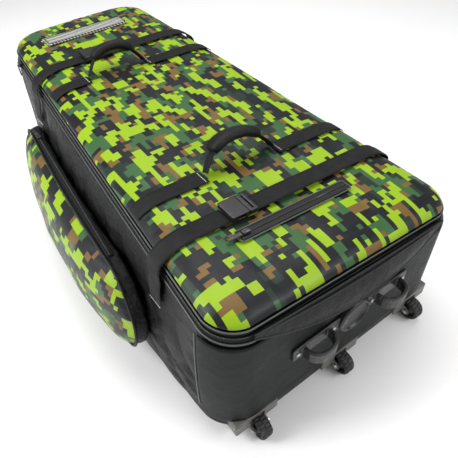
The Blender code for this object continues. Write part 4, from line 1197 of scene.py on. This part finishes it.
def tyre_grid():
    """Angle a, section s: radius minus a groove where both rows' block waves are low."""
    angle = np.linspace(0, 2 * np.pi, 289)[:-1][:, None]
    across = np.linspace(-1, 1, 41)[None, :]
    crown = TYRE_RADIUS - 0.0036 * np.abs(across) ** 5
    blocks = np.sin(18 * angle + np.where(across > 0, 0.0, np.pi))
    groove = 1 / (1 + np.exp((blocks + 0.45) * 14))
    ring_cut = np.exp(-((across / 0.07) ** 2))
    r = crown - 0.0022 * np.maximum(groove * (np.abs(across) < 0.93), ring_cut)
    x = across * TYRE_HALF_WIDE
    outer = np.stack(np.broadcast_arrays(x, r * np.cos(angle), r * np.sin(angle)), -1)
    walls = []
    for x_wall, r_wall in ((0.0120, 0.0195), (0.0105, TYRE_BORE), (-0.0105, TYRE_BORE), (-0.0120, 0.0195)):
        ring = (x_wall, r_wall * np.cos(angle), r_wall * np.sin(angle))
        walls.append(np.stack(np.broadcast_arrays(*ring), -1))
    return np.concatenate([outer, *walls], 1)


for word in ("left", "middle", "right"):
    low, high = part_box(f"tyre_{word}")
    centre = (np.array(low) + np.array(high)) / 2
    tread = surface(f"tread_{word}", tyre_grid() + centre, RUBBER, wrap_u=True, wrap_v=True, shift=False)
    settle(tread, f"tyre_{word}", f"wheel_{word}")
print("tyres done")

# %% [markdown]
# ## Moulded parts
#
# The grab handle, the wheel guards and the buckles are injection moulded, so no edge on them is
# sharp.  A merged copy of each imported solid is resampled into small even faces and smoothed, which
# rounds every edge by about a millimetre.  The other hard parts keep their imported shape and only
# take their finish.

# %% moulded copies and finishes


def moulded_copy(node, voxel, passes, finish, body):
    """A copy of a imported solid, resampled evenly and smoothed."""
    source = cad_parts[node]
    mesh = source.data.copy()
    mesh.transform(source.matrix_world)
    work = bmesh.new()
    work.from_mesh(mesh)
    bmesh.ops.remove_doubles(work, verts=work.verts, dist=1e-5)
    work.to_mesh(mesh)
    work.free()
    made = bpy.data.objects.new(f"{node}_moulding", mesh)
    bpy.context.scene.collection.objects.link(made)
    even = made.modifiers.new("even", "REMESH")
    even.mode = "VOXEL"
    even.voxel_size = voxel
    even.use_smooth_shade = True
    soft = made.modifiers.new("soft", "SMOOTH")
    soft.iterations = passes
    mesh.materials.clear()
    mesh.materials.append(finish)
    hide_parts(node)
    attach(made, body)
    return made


moulded_copy("grab_handle", 0.0011, 4, DARK, "tub")
for word in ("left", "middle", "right"):
    moulded_copy(f"wheel_guard_{word}", 0.0011, 3, GREY, "tub")
for which in ("near", "far"):
    for half in ("female", "male"):
        name = f"{which}_buckle_{half}"
        moulded_copy(name, 0.0007, 3, BUCKLE, name)

FINISH_OF = {
    "hub": HUB, "axle": STEEL, "handle_screw": STEEL, "skid_rail": DARK, "base_board": BOARD,
    "main_zip": ZINC, "lid_zip": ZINC, "pocket_zip": ZINC,
}
for name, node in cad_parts.items():
    for start, finish in FINISH_OF.items():
        if name.startswith(start) and not node.hide_render:
            node.data.materials.clear()
            node.data.materials.append(finish)
print("hard parts done")

# %% [markdown]
# ## Floor, light and camera
#
# The bag stands on a plain pale floor under soft light from above, the left and the far side, so
# that the rolled edges of the lid catch long soft highlights.

# %% stage
floor_mesh = bpy.data.meshes.new("floor")
floor_mesh.from_pydata([(-6, -6, 0), (6, -6, 0), (6, 6, 0), (-6, 6, 0)], [], [(0, 1, 2, 3)])
floor_finish, _, floor_bsdf = shader("pale_floor", 0.9)
floor_bsdf.inputs["Base Color"].default_value = (0.93, 0.93, 0.93, 1)
floor_mesh.materials.append(floor_finish)
floor = bpy.data.objects.new("floor", floor_mesh)
bpy.context.scene.collection.objects.link(floor)
floor.location.z = -0.0004

world = bpy.data.worlds.new("studio")
bpy.context.scene.world = world
world.use_nodes = True
world.node_tree.nodes["Background"].inputs[0].default_value = (1, 1, 1, 1)
world.node_tree.nodes["Background"].inputs[1].default_value = 0.34


def softbox(name, place, target, size, power):
    light = bpy.data.lights.new(name, "AREA")
    light.shape = "RECTANGLE"
    light.size, light.size_y = size
    light.energy = power
    made = bpy.data.objects.new(name, light)
    made.location = place
    made.rotation_euler = (Vector(target) - Vector(place)).to_track_quat("-Z", "Y").to_euler()
    bpy.context.scene.collection.objects.link(made)


softbox("key", (-1.7, 0.5, 1.5), (0, 0, 0.2), (0.8, 1.8), 46)
softbox("near_fill", (0.9, -1.9, 1.5), (0, -0.3, 0.2), (1.4, 0.7), 24)
softbox("top", (0.5, 0.4, 2.4), (0, 0, 0), (2.0, 2.0), 42)

AZIMUTH, ELEVATION, ROLL = math.radians(-34.16), math.radians(45.89), math.radians(-3.35)
DISTANCE = 1.0823
level_reach = math.cos(ELEVATION)
back = np.array([math.sin(AZIMUTH) * level_reach, -math.cos(AZIMUTH) * level_reach, math.sin(ELEVATION)])
right = np.array([math.cos(AZIMUTH), math.sin(AZIMUTH), 0])
up = np.cross(back, right)
rolled_right = math.cos(ROLL) * right + math.sin(ROLL) * up
rolled_up = -math.sin(ROLL) * right + math.cos(ROLL) * up
target = np.array([0.010, -0.1995, 0.154])
eye = target + back * DISTANCE
camera_data = bpy.data.cameras.new("camera")
camera_data.sensor_width = 36
camera_data.lens = 37.7
camera = bpy.data.objects.new("camera", camera_data)
turned = np.eye(4)
turned[:3, 0], turned[:3, 1], turned[:3, 2], turned[:3, 3] = rolled_right, rolled_up, back, eye
camera.matrix_world = Matrix(turned.tolist())
bpy.context.scene.collection.objects.link(camera)
bpy.context.scene.camera = camera
bpy.context.scene.view_settings.view_transform = "Standard"
print("stage done")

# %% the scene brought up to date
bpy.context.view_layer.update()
